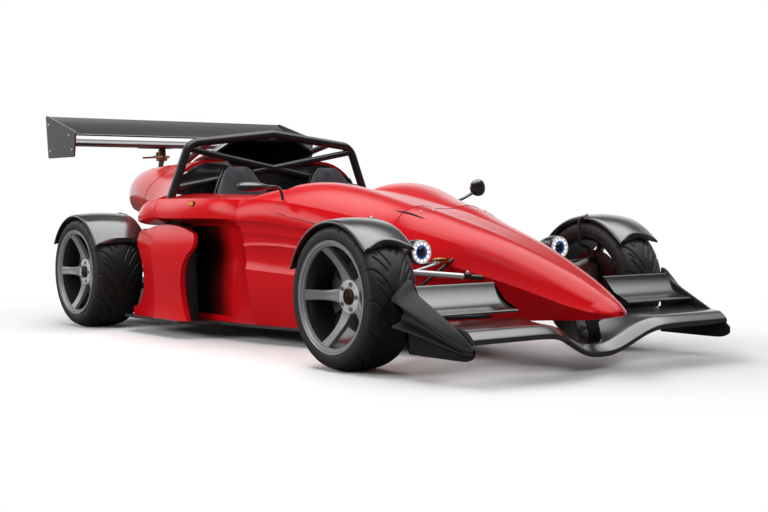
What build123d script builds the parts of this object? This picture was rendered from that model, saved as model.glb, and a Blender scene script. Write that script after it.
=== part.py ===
from build123d import *
from math import cos, radians, sin
import os

# An open wheel track car with two seats side by side, in millimetres.
# X runs forward, Y to the car's left and Z up from the road; the origin lies on the road at mid length.

# Lengths along the car, from the nose tip to the tail
front_overhang = 843  # nose tip to front axle
nose_back = 300  # front axle to the joint between nose and cowl
cowl_length = 685  # that joint to the cowl's rear lip
cockpit_length = 920  # the lip to the firewall
engine_bay = 737  # firewall to rear axle
rear_overhang = 473  # rear axle to the rear wing's trailing edge

# Body
cockpit_half_width = 530
cockpit_front_inset = 64  # how much narrower the cockpit is at the dashboard, each side
floor_bottom_z = 85
floor_thickness = 14.7
skin = 14
seat_gap = 0.3  # room left where one piece seats on another
firewall_thickness = 15
plain_height = 1200  # taller than any cut needs

# Wheels, with places measured outwards from the wheel's middle plane
rim_radius = 246.5  # flange of an 18 inch rim
bead_radius = 229
barrel_wall = 12
flange_width = 11
front_wheel = {"tyre_radius": 321.5, "tyre_width": 266, "rim_width": 252, "middle_y": 765,
               "face": 25, "back": -10}
rear_wheel = {"tyre_radius": 325, "tyre_width": 311, "rim_width": 299, "middle_y": 731,
              "face": 85, "back": 45}
spoke_count = 5

wheelbase = nose_back + cowl_length + cockpit_length + engine_bay
length = front_overhang + wheelbase + rear_overhang
front_axle_x = length / 2 - front_overhang
joint_x = front_axle_x - nose_back
lip_x = joint_x - cowl_length
firewall_x = lip_x - cockpit_length
rear_axle_x = firewall_x - engine_bay
floor_top_z = floor_bottom_z + floor_thickness
floor_seat_z = floor_top_z + seat_gap
cover_front_x = firewall_x - firewall_thickness - 2 * seat_gap

os.makedirs("parts", exist_ok=True)


def save(node, *solids):
    shape = solids[0] if len(solids) == 1 else Compound(list(solids))
    export_step(shape, f"parts/{node}.step")


def largest(shape):
    return max(shape.solids(), key=lambda solid: solid.volume)


def mirrored(shape):
    return mirror(shape, about=Plane.XZ)


def rod(start, end, radius):
    run = Vector(*end) - Vector(*start)
    return Solid.make_cylinder(radius, run.length, Plane(origin=start, z_dir=run))


def block(low, high):
    size = [b - a for a, b in zip(low, high)]
    return Solid.make_box(*size, Plane(origin=low))


def run_edges(pieces, place):
    """Lines for two points and arcs for three, each point set in space by place."""
    edges = []
    for piece in pieces:
        points = [Vector(*place(*point)) for point in piece]
        make = Edge.make_line if len(points) == 2 else Edge.make_three_point_arc
        edges.append(make(*points))
    return edges


def outline(x, pieces):
    """A closed ring of (y, z) lines and arcs across the car at x."""
    return Wire(run_edges(pieces, lambda y, z: (x, y, z)))


def both_sides(half):
    """Closes a left-hand run of lines and arcs, lower end first, with its mirror image."""
    other = [tuple((-y, z) for y, z in reversed(piece)) for piece in reversed(half)]
    top = (half[-1][-1], other[0][0])
    bottom = (other[-1][-1], half[0][0])
    return [*half, top, *other, bottom]


def two_sided(half):
    """Closes a left-hand list of (a, y) points with its mirror image."""
    return [*half, *((a, -y) for a, y in reversed(half))]


def bowed(start, end, rise):
    """An arc from start to end whose middle stands rise outward, to the right of the way up."""
    run = Vector(*start) - Vector(*end)
    side = Vector(-run.Y, run.X).normalized() * rise
    middle = (Vector(*start) + Vector(*end)) / 2 + side
    return (start, (middle.X, middle.Y), end)


def flat_prism(corners, low_z, high_z):
    """An upright prism over a closed list of (x, y) corners."""
    ring = Wire.make_polygon([(x, y, low_z) for x, y in corners])
    return Solid.extrude(Face(ring), Vector(0, 0, high_z - low_z))


def plate(points, y_from, y_to, corner):
    """A flat plate: a rounded outline of (x, z) points, thick along Y."""
    run = FilletPolyline(*[(x, y_from, z) for x, z in points], radius=corner, close=True)
    return Solid.extrude(Face(Wire(run.edges())), Vector(0, y_to - y_from, 0))


def side_prism(points, y_from, y_to):
    """A flat plate with sharp corners: a closed list of (x, z) points, thick along Y."""
    ring = Wire.make_polygon([(x, y_from, z) for x, z in points])
    return Solid.extrude(Face(ring), Vector(0, y_to - y_from, 0))


def cross_plate(points, x_from, x_to):
    """A flat plate: an outline of (y, z) points, thick along X."""
    ring = Wire.make_polygon([(x_from, y, z) for y, z in points])
    return Solid.extrude(Face(ring), Vector(x_to - x_from, 0, 0))


def spun(pieces, axle_x, axle_z, turn=360, start=0):
    """A ring turned about the axle from a closed run of (y, radius) lines and arcs."""
    def place(y, r):
        return (axle_x + r * cos(radians(start)), y, axle_z + r * sin(radians(start)))

    ring = Wire(run_edges(pieces, place))
    return Solid.revolve(Face(ring), turn, Axis((axle_x, 0, axle_z), (0, -1, 0)))


def closed_run(points):
    return [(points[i], points[(i + 1) % len(points)]) for i in range(len(points))]


# Nose, by share of the way from its tip to the cowl: side crease, bottom edge, bow of the side,
# then the shoulder, the crown's flank and the crown
nose_sections = (
    (0.0, (36, 262), (24, 246), 0.5, (29, 270), (18, 277), (8, 279)),
    (0.073, (100, 268), (70, 232), -1, (77, 304), (52, 328), (20, 340)),
    (0.195, (145, 302), (104, 222), -2, (114, 360), (77, 396), (30, 411)),
    (0.37, (192, 358), (140, 208), -3, (153, 434), (105, 479), (40, 494)),
    (0.60, (249, 420), (190, 185), -3, (202, 512), (140, 566), (50, 583)),
    (0.80, (300, 470), (240, 150), 2, (254, 571), (170, 634), (58, 645)),
    (1.0, (352, 515), (300, floor_seat_z), 8, (312, 625), (201, 703), (65, 697)),
)


def nose_solid():
    rings = []
    run = front_overhang + nose_back - seat_gap
    for share, crease, low, bow, shoulder, flank, crown in nose_sections:
        half = [(low, crease), bowed(crease, shoulder, bow), (shoulder, flank, crown)]
        rings.append(outline(front_axle_x + front_overhang - share * run, both_sides(half)))
    return Solid.make_loft(rings)


# Cowl, by share of its length behind the nose joint, and cockpit sides, by share of the way from the
# cowl's last section to the firewall. Each row: share, whether y counts from the cockpit wall, then
# sill y, low ridge, middle ridge, under the rail, rail edge, rail top, hump, crown, hollow between ridges
cowl_sections = (
    (0.0, 0, 300, (325, 300), (338, 400), (345, 460), (352, 515), (312, 625), (201, 703), (65, 697), 1),
    (0.438, 0, 392, (428, 345), (434, 465), (440, 520), (452, 575), (420, 678), (250, 772), (68, 752), 7),
    (0.92, 1, -52, (-8, 372), (6, 510), (15, 565), (36, 625), (18, 735), (-245, 832), (70, 792), 12),
    (1.285, 1, 5, (68, 390), (78, 508), (88, 575), (120, 642), (92, 745), (-60, 775), (70, 778), 14),
)
side_sections = (
    (0.0, *cowl_sections[-1][1:]),
    (0.207, 1, 16, (26, 390), (28, 508), (46, 604), (172, 648), (158, 750), (30, 768), (70, 770), 9),
    (0.51, 1, 18, (22, 390), (24, 508), (42, 612), (205, 648), (185, 752), (60, 770), (70, 772), 6),
    (1.0, 1, 20, (24, 390), (26, 508), (44, 612), (208, 650), (185, 750), (60, 770), (70, 772), 6),
)
cowl_end_x = joint_x - cowl_sections[-1][0] * cowl_length
seam_z = (530, 690)  # seam between cowl and flank, at the nose joint and at the cowl's lip


def body_ring(x, wall, sill, low, middle, under, edge, top, hump, crown, hollow):
    base = wall * cockpit_half_width
    foot = (base + sill, floor_seat_z)
    low, middle, under, edge, top, hump = [(base + y, z) for y, z in (low, middle, under, edge, top, hump)]
    half = [
        bowed(foot, low, hollow / 2),
        bowed(low, middle, -hollow),
        bowed(middle, under, -hollow / 2),
        bowed(under, edge, -hollow / 2),
        bowed(edge, top, 8),
        (top, hump, crown),
    ]
    return outline(x, both_sides(half))


def body_loft(rows, start_x, run):
    return Solid.make_loft([body_ring(start_x - share * run, *row) for share, *row in rows])


# Footwell under the cowl: share as above, from the cockpit wall or not, side y and z, hump, crown
footwell_sections = (
    (0.0, 0, (285, 555), (200, 668), (65, 683)),
    (0.438, 0, (370, 630), (255, 753), (68, 738)),
    (0.92, 1, (-78, 700), (-245, 817), (70, 778)),
    (1.002, 1, (-62, 712), (-245, 815), (70, 777)),
)


def footwell():
    rings = []
    for share, wall, side, hump, crown in footwell_sections:
        base = wall * cockpit_half_width
        side, hump = [(base + y, z) for y, z in (side, hump)]
        half = [((side[0], floor_bottom_z), side), (side, hump, crown)]
        rings.append(outline(joint_x - share * cowl_length, both_sides(half)))
    return Solid.make_loft(rings)


def cockpit_space():
    widen_x = cowl_end_x - side_sections[1][0] * (cowl_end_x - firewall_x)
    front = cockpit_half_width - cockpit_front_inset
    half = ((lip_x, front), (cowl_end_x, cockpit_half_width - 10),
            (widen_x, cockpit_half_width), (firewall_x - 1, cockpit_half_width))
    return flat_prism(two_sided(half), floor_bottom_z, plain_height)


def cowl_zone(gap):
    """The wedge above the seam between the cowl and the car's flanks."""
    corners = [(joint_x, seam_z[0] + gap), (lip_x, seam_z[1] + gap),
               (lip_x, plain_height), (joint_x, plain_height)]
    return side_prism(corners, -2 * cockpit_half_width, 2 * cockpit_half_width)


nose = nose_solid()
body = body_loft(cowl_sections, joint_x, cowl_length)
body = body.fuse(body_loft(side_sections, cowl_end_x, cowl_end_x - firewall_x))
body = body - footwell() - cockpit_space()
cowl = body & cowl_zone(seat_gap)
flanks = (body - cowl_zone(0)).solids()
left_flank = max(flanks, key=lambda solid: solid.center().Y)
save("scuttle_cowl", cowl)
for flank in flanks:
    side = "left" if flank.center().Y > 0 else "right"
    save(f"flank_{side}", flank)

# Floor tray with a rising diffuser and its strakes
floor_wing = 225  # floor's reach beyond the cockpit wall beside the engine
diffuser_start = 80  # ahead of the rear axle
diffuser_end = 420  # behind it
diffuser_rise = 155
diffuser_half_width = 480
strake_thickness = 8
strake_depth = 125
strake_y = (165, diffuser_half_width)
floor_edge = (
    (joint_x + 40, 295), (joint_x - 0.438 * cowl_length, 405),
    (joint_x - 0.92 * cowl_length, cockpit_half_width - 35), (cowl_end_x, cockpit_half_width + 22),
    (firewall_x + 393, cockpit_half_width + 45), (firewall_x + 283, cockpit_half_width + floor_wing),
    (rear_axle_x + 400, cockpit_half_width + floor_wing), (rear_axle_x + 370, diffuser_half_width + 40),
    (rear_axle_x + diffuser_start, diffuser_half_width),
)


def floor_tray():
    tray = flat_prism(two_sided(floor_edge), floor_bottom_z, floor_top_z)
    start_x = rear_axle_x + diffuser_start
    end_x = rear_axle_x - diffuser_end
    ramp = [(start_x, floor_bottom_z), (start_x, floor_top_z),
            (end_x, floor_top_z + diffuser_rise), (end_x, floor_bottom_z + diffuser_rise)]
    tray = tray.fuse(side_prism(ramp, -diffuser_half_width, diffuser_half_width))
    strake = [(start_x, floor_bottom_z), (end_x, floor_bottom_z + diffuser_rise),
              (end_x, floor_bottom_z + diffuser_rise - strake_depth)]
    for outer_y in strake_y:
        fence = side_prism(strake, outer_y - strake_thickness, outer_y)
        tray = tray.fuse(fence).fuse(mirrored(fence))
    return tray


save("floor_tray", floor_tray())

# Engine cover, by share of its length: foot, widest point, shoulder and the top's height.
# The first row counts y from the cockpit wall
cover_tail = 300  # reach behind the rear axle
cover_sections = (
    (0.0, 1, (115, 776), (58, 872), (-120, 968), 988),
    (0.333, 0, (562, 688), (545, 828), (398, 954), 984),
    (0.667, 0, (450, 666), (489, 813), (372, 941), 973),
    (1.0, 0, (345, 690), (372, 806), (262, 915), 940),
)
cover_seam = ((205, 560), (222, 800), (390, 890), (470, plain_height))  # ahead of the rear axle, and z


def cover_solid(inset, over):
    """The cover's outer form, or with an inset its hollow, which runs over past both ends."""
    rings = []
    run = cover_front_x - (rear_axle_x - cover_tail) + 2 * over
    for share, wall, foot, wide, shoulder, top_z in cover_sections:
        base = wall * cockpit_half_width
        low = (base + foot[0] - inset, foot[1] - over)
        side = (base + wide[0] - inset, wide[1] - inset / 2)
        high = (base + shoulder[0] - inset, shoulder[1] - inset)
        flank = [(low, side, high)]
        other = [tuple((-y, z) for y, z in reversed(flank[0]))]
        ring = [*flank, (high, (0, top_z - inset), other[0][0]), *other, (other[0][-1], low)]
        rings.append(outline(cover_front_x + over - share * run, ring))
    return Solid.make_loft(rings)


# Air scoop, by share of its length: lip, cheek and roof
scoop_tail = 60  # its end, ahead of the rear axle
scoop_sections = (
    (0.0, (235, 938), (335, 1022), (205, 1098)),
    (0.5, (190, 944), (262, 996), (158, 1050)),
    (1.0, (110, 955), (130, 968), (70, 984)),
)


def scoop_solid(inset, back_wall):
    """The scoop's outer form, or with an inset its hollow, which stops back_wall short of the tail."""
    rings = []
    front_x = cover_front_x + (1 if back_wall else 0)
    run = front_x - (rear_axle_x + scoop_tail + back_wall)
    for share, lip, cheek, roof in scoop_sections:
        side = (cheek[0] - inset * 1.4, cheek[1])
        half = [((lip[0] - inset, lip[1] + inset), side), (side, (roof[0] - inset * 0.6, roof[1] - inset))]
        rings.append(outline(front_x - share * run, both_sides(half)))
    return Solid.make_loft(rings)


cover_outer = cover_solid(0, 0)
scoop_room = scoop_solid(-seat_gap, 0)
cover = largest(cover_outer - cover_solid(skin, 5) - scoop_room)


def ahead_of_seam(gap):
    seam = [(rear_axle_x + ahead + gap, z) for ahead, z in cover_seam]
    corners = [*seam, (firewall_x, plain_height), (firewall_x, cover_seam[0][1])]
    return side_prism(corners, -2 * cockpit_half_width, 2 * cockpit_half_width)


save("air_scoop", scoop_solid(0, 0) - scoop_solid(skin, skin))
collar = [solid for solid in (cover & ahead_of_seam(seat_gap)).solids() if solid.volume > 1000]
save("engine_cover_collar", *collar)
save("engine_cover", largest(cover - ahead_of_seam(0)))

# Firewall behind the seats
firewall_edge = (
    (cockpit_half_width + 20, floor_seat_z), (cockpit_half_width + 20, 772),
    (cockpit_half_width + 108, 782), (cockpit_half_width + 58, 868),
    (cockpit_half_width - 120, 955), (220, 934),
)
corners = [*firewall_edge, *((-y, z) for y, z in reversed(firewall_edge))]
firewall_front_x = firewall_x - seat_gap
firewall = cross_plate(corners, firewall_front_x - firewall_thickness, firewall_front_x)
save("firewall", firewall)

# Rear end of each side rail, by share of its length: foot, edge, top and inner top from the cockpit wall
rail_tail = 396  # its tip, ahead of the rear axle
rail_end_sections = (
    (0.0, (70, 612), (208, 650), (185, 750), (70, 768)),
    (0.333, (64, 607), (204, 642), (182, 738), (70, 756)),
    (0.667, (66, 604), (184, 626), (170, 702), (70, 722)),
    (1.0, (84, 622), (124, 630), (120, 654), (86, 660)),
)


def rail_end():
    rings = []
    front_x = firewall_x - seat_gap
    run = front_x - (rear_axle_x + rail_tail)
    for share, *points in rail_end_sections:
        foot, edge, top, inner = [(cockpit_half_width + y, z) for y, z in points]
        bulge = (edge[0] - foot[0]) / 14
        ring = [bowed(foot, edge, bulge), bowed(edge, top, bulge), bowed(top, inner, bulge), (inner, foot)]
        rings.append(outline(front_x - share * run, ring))
    return Solid.make_loft(rings)


left_rail_end = rail_end() - cover_outer
save("rail_end_left", left_rail_end)
save("rail_end_right", mirrored(left_rail_end))

# Sidepod vane: a vase-shaped side outline through a creased plan form that leans with height.
# Places count ahead of the rear axle, y from the cockpit wall
pod_wall = 40
pod_plan = {"lead": (1190, 185), "crease": (722, 214), "trail": (330, 150)}
pod_lean = ((90, 0), (273, -8), (457, 6), (640, -52))  # z, then how far the plan form moves outward
pod_outline = (
    ((1065, floor_seat_z), (1003, 262), (1118, 478)),
    ((1118, 478), (1141, 535), (1092, 575)),
    ((1092, 575), (838, 611), (560, 574)),
    ((560, 574), (476, 556), (492, 480)),
    ((492, 480), (556, 270), (490, 190)),
    ((490, 190), (440, 150), (362, 140)),
    ((362, 140), (362, floor_seat_z)),
    ((362, floor_seat_z), (1065, floor_seat_z)),
)


def pod_vane():
    lead, crease, trail = [(rear_axle_x + ahead, cockpit_half_width + y) for ahead, y in pod_plan.values()]
    rings = []
    for z, lean in pod_lean:
        def place(x, y):
            return (x, y + lean, z)

        inner_crease = (crease[0], crease[1] - pod_wall)
        inner_trail = (trail[0], trail[1] - pod_wall / 2)
        inner_lead = (lead[0], lead[1] - pod_wall / 2)
        pieces = [
            bowed(lead, crease, 6),
            bowed(crease, trail, 4),
            (trail, inner_trail),
            bowed(inner_trail, inner_crease, -4),
            bowed(inner_crease, inner_lead, -4),
            (inner_lead, lead),
        ]
        rings.append(Wire(run_edges(pieces, place)))
    low_y = cockpit_half_width + pod_plan["trail"][1] - 4 * pod_wall
    high_y = cockpit_half_width + pod_plan["crease"][1] + 4 * pod_wall
    face = Face(Wire(run_edges(pod_outline, lambda ahead, z: (rear_axle_x + ahead, low_y, z))))
    return largest(Solid.make_loft(rings) & Solid.extrude(face, Vector(0, high_y - low_y, 0)))


pod = pod_vane()
save("sidepod_left", pod)
save("sidepod_right", mirrored(pod))

# Engine, gearbox, exhaust, rear lamp, tow eye and radiators
engine_half_width = 230
engine_top_z = 560
engine_end = 200  # joint between engine and gearbox, ahead of the rear axle
gearbox_half_width = 150
gearbox_end = 240  # behind the rear axle
gearbox_z = (200, 470)
gearbox_chamfer = 40
exhaust_radius = 38
exhaust_wall = 3
exhaust_y = 120
exhaust_z = 520
exhaust_end = 400  # behind the rear axle
exhaust_plug = 30
lamp_box = {"depth": 25, "half_width": 60, "z": (340, 400)}
tow_bore = 20
tow_reach = 38
tow_z = 275
tow_half_thickness = 7
radiator_thickness = 60
radiator_ahead = 93  # ahead of the firewall
radiator_y = (10, 142)  # from the cockpit wall
radiator_top_z = 600

engine = block((rear_axle_x + engine_end, -engine_half_width, floor_seat_z),
               (cover_front_x, engine_half_width, engine_top_z))
gearbox = block((rear_axle_x - gearbox_end, -gearbox_half_width, gearbox_z[0]),
                (rear_axle_x + engine_end - seat_gap, gearbox_half_width, gearbox_z[1]))
gearbox = gearbox.chamfer(gearbox_chamfer, None, gearbox.edges().filter_by(Axis.X))
save("engine_block", engine)
save("gearbox", gearbox)

pipes = []
for y in (exhaust_y, -exhaust_y):
    start = (rear_axle_x + engine_end - seat_gap, y, exhaust_z)
    end = (rear_axle_x - exhaust_end, y, exhaust_z)
    hollow_from = (start[0] - exhaust_plug, y, exhaust_z)
    pipes.append(rod(start, end, exhaust_radius) - rod(hollow_from, end, exhaust_radius - exhaust_wall))
save("exhaust", *pipes)

tail_x = rear_axle_x - gearbox_end - seat_gap
save("rain_lamp", block((tail_x - lamp_box["depth"], -lamp_box["half_width"], lamp_box["z"][0]),
                        (tail_x, lamp_box["half_width"], lamp_box["z"][1])))

tow_x = tail_x - tow_reach
tow_far = tow_reach + 1.6 * tow_bore
tow_points = [(tail_x - tow_far, tow_z - 35), (tail_x - tow_far, tow_z + 35),
              (tail_x, tow_z + 45), (tail_x, tow_z - 45)]
tow_eye = plate(tow_points, -tow_half_thickness, tow_half_thickness, 4)
save("tow_eye", tow_eye - rod((tow_x, -50, tow_z), (tow_x, 50, tow_z), tow_bore))

radiator = block((firewall_x + radiator_ahead, cockpit_half_width + radiator_y[0], floor_seat_z),
                 (firewall_x + radiator_ahead + radiator_thickness, cockpit_half_width + radiator_y[1],
                  radiator_top_z))
radiator = largest(radiator - left_flank)
save("radiators", radiator, mirrored(radiator))

# Roll hoop with its crossed braces and rear stays
hoop_ahead = 50  # ahead of the firewall
hoop_tube_radius = 24
brace_radius = 18
hoop_foot = (cockpit_half_width + 139, 735)
hoop_corner = (cockpit_half_width + 15, 1058)
hoop_peak_z = 1122
hoop_bend = 95
brace_top = (cockpit_half_width + 30, 1030)
brace_foot = (cockpit_half_width + 110, 808)
stay_top = (405, 1075)
stay_foot = (330, 330, 960)  # ahead of the rear axle, y and z
hoop_x = firewall_x + hoop_ahead
hoop_half = (hoop_foot, hoop_corner)
hoop_points = [(hoop_x, -y, z) for y, z in hoop_half]
hoop_points += [(hoop_x, 0, hoop_peak_z), *((hoop_x, y, z) for y, z in reversed(hoop_half))]
hoop_path = FilletPolyline(*hoop_points, radius=hoop_bend)
hoop = sweep(Plane(origin=hoop_path @ 0, z_dir=hoop_path % 0) * Circle(hoop_tube_radius), path=hoop_path)
for side in (-1, 1):
    brace_start = (hoop_x, side * brace_top[0], brace_top[1])
    stay_start = (hoop_x, side * stay_top[0], stay_top[1])
    stay_end = (rear_axle_x + stay_foot[0], side * stay_foot[1], stay_foot[2])
    hoop = hoop + rod(brace_start, (hoop_x, -side * brace_foot[0], brace_foot[1]), brace_radius)
    hoop = hoop + rod(stay_start, stay_end, brace_radius)
hoop = hoop - cover_outer - scoop_room
for flank in flanks:
    hoop = hoop - flank
save("roll_hoop", largest(hoop))

# Seats: side outline of shell and bolsters ahead of the firewall, and the front outline of both
tunnel_half_width = 78
seat_side_room = 8
seat_half_width = (cockpit_half_width - seat_side_room - tunnel_half_width) / 2
seat_y = tunnel_half_width + seat_half_width
seat_bolster = 50
seat_corner = 20
seat_side = ((648, floor_seat_z), (668, 330), (343, 215), (163, 925), (101, 925), (193, floor_seat_z))
bolster_side = ((648, floor_seat_z), (668, 400), (413, 400), (273, 760), (153, 760), (193, floor_seat_z))
headrest = ((0, floor_seat_z), (0, 715), (72, 800), (128, 900), (150, 930))  # inset of each side, z


def seat(centre_y):
    low_y, high_y = centre_y - seat_half_width, centre_y + seat_half_width
    shell = plate([(firewall_x + x, z) for x, z in seat_side], low_y, high_y, seat_corner)
    for y in (low_y, high_y - seat_bolster):
        wing = plate([(firewall_x + x, z) for x, z in bolster_side], y, y + seat_bolster, seat_corner)
        shell = shell.fuse(wing)
    front = [(low_y + inset, z) for inset, z in headrest]
    front += [(high_y - inset, z) for inset, z in reversed(headrest)]
    return largest(shell & cross_plate(front, firewall_x, firewall_x + cockpit_length))


for side, name in ((-1, "right"), (1, "left")):
    save(f"seat_{name}", seat(side * seat_y))

# Dashboard under the cowl
dash_inset = 20  # ahead of the cowl's lip
dash_thickness = 25
dash_edge = ((cockpit_half_width - 30, 590), (cockpit_half_width - 30, 690), (285, 760), (120, 735))
corners = [*dash_edge, *((-y, z) for y, z in reversed(dash_edge))]
dash = cross_plate(corners, lip_x + dash_inset, lip_x + dash_inset + dash_thickness)

# Steering wheel and column, tilted about Y
wheel_behind_lip = 145
wheel_z = 640
wheel_ring_radius = 132
wheel_grip_radius = 14
wheel_boss = {"radius": 45, "depth": 30}
wheel_spoke = {"middle": 80, "length": 110, "width": 34, "depth": 10}
column_radius = 14
column_tilt = 18
column_length = 240
wheel_plane = Plane(origin=(lip_x - wheel_behind_lip, -seat_y, wheel_z), x_dir=(0, 1, 0),
                    z_dir=(cos(radians(column_tilt)), 0, -sin(radians(column_tilt))))
steering_wheel = wheel_plane * Torus(wheel_ring_radius, wheel_grip_radius)
steering_wheel = steering_wheel + wheel_plane * Cylinder(wheel_boss["radius"], wheel_boss["depth"])
for turn in (0, 180, 270):
    arm = Box(wheel_spoke["length"], wheel_spoke["width"], wheel_spoke["depth"])
    steering_wheel = steering_wheel + wheel_plane * Rot(0, 0, turn) * Pos(wheel_spoke["middle"], 0, 0) * arm
column_middle = wheel_plane * Pos(0, 0, column_length / 2)
save("steering_wheel", steering_wheel + column_middle * Cylinder(column_radius, column_length))
dash = dash - column_middle * Cylinder(column_radius + seat_gap, 2 * column_length)
for piece in (*flanks, cowl):
    dash = dash - piece
save("dashboard", largest(dash))

# Front wing plane: y, then leading and trailing edge ahead of the front axle and z
plane_thickness = 24
plane_half_span = 762
spoon_sections = (
    (0, (752, 91), (540, 150)), (100, (757, 104), (542, 162)), (200, (776, 150), (548, 208)),
    (300, (788, 184), (554, 240)), (400, (792, 190), (557, 246)),
)
edge_half_thickness = 2


def wing_ring(y, axle_x, lead, trail, thickness):
    """Two arcs from a blunt leading edge to a thin trailing edge, cambered for downforce."""
    nose_r = thickness * 0.3
    lead_x, trail_x = axle_x + lead[0], axle_x + trail[0]
    middle_x, middle_z = (lead_x + trail_x) / 2, (lead[1] + trail[1]) / 2
    upper = (lead_x - nose_r, lead[1] + nose_r)
    under = (lead_x - nose_r, lead[1] - nose_r)
    tail_top = (trail_x, trail[1] + edge_half_thickness)
    tail_low = (trail_x, trail[1] - edge_half_thickness)
    pieces = [(upper, (middle_x, middle_z - thickness / 6), tail_top), (tail_top, tail_low),
              (tail_low, (middle_x, middle_z - thickness), under), (under, (lead_x, lead[1]), upper)]
    return Wire(run_edges(pieces, lambda x, z: (x, y, z)))


def front_plane_rings(side, rows):
    return [wing_ring(side * y, front_axle_x, lead, trail, plane_thickness) for y, lead, trail in rows]


spoon = [*front_plane_rings(-1, reversed(spoon_sections)), *front_plane_rings(1, spoon_sections[1:])]
front_plane = Solid.make_loft(spoon)
plane_tip = (plane_half_span, *spoon_sections[-1][1:])
for side in (-1, 1):
    outer_span = Solid.make_loft(front_plane_rings(side, (spoon_sections[-1], plane_tip)), True)
    front_plane = front_plane.fuse(outer_span)
save("front_wing_plane", front_plane)

# Flaps from the nose's side out to the endplates
flap_thickness = 16
flap_edges = ((585, 275), (430, 384))  # ahead of the front axle and z
flap_rings = [wing_ring(y, front_axle_x, *flap_edges, flap_thickness) for y in (100, plane_half_span)]
flap = largest(Solid.make_loft(flap_rings, True) - nose)
save("front_wing_flaps", flap, mirrored(flap))

# Endplates with an outward flare, hollowed on its outer face: place ahead of the front axle, then
# (y, z) from the plate's outer face round the flare and round the hollow
endplate_thickness = 10
endplate_corner = 8
plate_inner_y = plane_half_span + seat_gap
flare_sections = (
    (770, ((-2, 160), (8, 152), (8, 132), (-2, 124))),
    (600, ((-2, 268), (40, 240), (40, 152), (-2, 124))),
    (402, ((-2, 362), (92, 335), (92, 215), (-2, 122))),
)
hollow_sections = (
    (690, ((30, 186), (30, 170), (14, 172), (14, 184))),
    (560, ((70, 252), (70, 182), (26, 190), (26, 240))),
    (395, ((112, 322), (112, 236), (52, 246), (52, 306))),
)
endplate_outline = ((802, 150), (790, 172), (694, 236), (546, 312), (440, 352), (420, 406), (400, 412),
                    (400, 104), (770, 106))


def flare_loft(rows):
    outer_y = plate_inner_y + endplate_thickness
    rings = []
    for ahead, ring in rows:
        points = [(outer_y + y, z) for y, z in ring]
        rings.append(outline(front_axle_x + ahead, closed_run(points)))
    return Solid.make_loft(rings, True)


endplate = plate([(front_axle_x + x, z) for x, z in endplate_outline], plate_inner_y,
                 plate_inner_y + endplate_thickness, endplate_corner)
endplate = endplate.fuse(flare_loft(flare_sections)) - flare_loft(hollow_sections)
save("front_wing_endplates", largest(endplate), mirrored(largest(endplate)))

# Stays between the nose and the front wing plane
stay_outline = ((700, 60), (640, 60), (560, 260), (640, 260))  # ahead of the front axle and z
stay_y = 62
stay_thickness = 8
stay = plate([(front_axle_x + x, z) for x, z in stay_outline], stay_y, stay_y + stay_thickness, 6)
stay = stay - nose - front_plane
stay = max(stay.solids(), key=lambda solid: solid.center().Z if solid.volume > 2000 else 0)
save("front_wing_stays", stay, mirrored(stay))

# Rear wing: edges behind the rear axle and z, thickness of each plane
wing_half_span = 835
rear_planes = (((-58, 1082), (-262, 1116), 30), ((-220, 1142), (-rear_overhang + 3, 1258), 20))
rear_plate_outline = ((-46, 1150), (-70, 1002), (-440, 1002), (-rear_overhang, 1267))
rear_plate_corner = 12
pylon_outline = ((-80, 900), (-60, 1100), (-200, 1120), (-240, 900))
pylon_y = 216
pylon_thickness = 10
span_y = wing_half_span - seat_gap
wings = []
for lead, trail, thickness in rear_planes:
    rings = [wing_ring(y, rear_axle_x, lead, trail, thickness) for y in (-span_y, span_y)]
    wings.append(Solid.make_loft(rings, True))
save("rear_wing_planes", *wings)
rear_plate = plate([(rear_axle_x + x, z) for x, z in rear_plate_outline], wing_half_span,
                   wing_half_span + endplate_thickness, rear_plate_corner)
save("rear_wing_endplates", rear_plate, mirrored(rear_plate))
pylon = plate([(rear_axle_x + x, z) for x, z in pylon_outline], pylon_y, pylon_y + pylon_thickness, 6)
pylon = pylon - cover_outer - wings[0]
pylon = min(pylon.solids(), key=lambda solid: abs(solid.center().Z - 1020))
save("rear_wing_pylons", pylon, mirrored(pylon))

# Headlamps in bullet pods
lamp_ahead = 50
lamp_y = 428
lamp_z = 506
lamp_radius = 54
lamp_profile = ((0, 0), (0, lamp_radius), (-40, lamp_radius + 2), (-110, 38), (-150, 12), (-150, 0))
lamp_arm = {"radius": 16, "start": (-50, 400, 500), "end": (-70, 200, 470)}  # from the lamp's face, y, z
lens_thickness = 10
lens_inset = 3
lamp_x = front_axle_x + lamp_ahead
points = [(lamp_x + x, lamp_y, lamp_z + r) for x, r in lamp_profile]
lamp = Solid.revolve(Face(Wire.make_polygon(points)), 360, Axis((lamp_x, lamp_y, lamp_z), (1, 0, 0)))
arm_ends = [(lamp_x + behind, y, z) for behind, y, z in (lamp_arm["start"], lamp_arm["end"])]
lamp = largest(lamp.fuse(rod(*arm_ends, lamp_arm["radius"])) - nose)
save("headlamp_pods", lamp, mirrored(lamp))
lens_ends = [(lamp_x + x, lamp_y, lamp_z) for x in (seat_gap, lens_thickness)]
lens = rod(*lens_ends, lamp_radius - lens_inset)
save("headlamp_lenses", lens, mirrored(lens))

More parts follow.
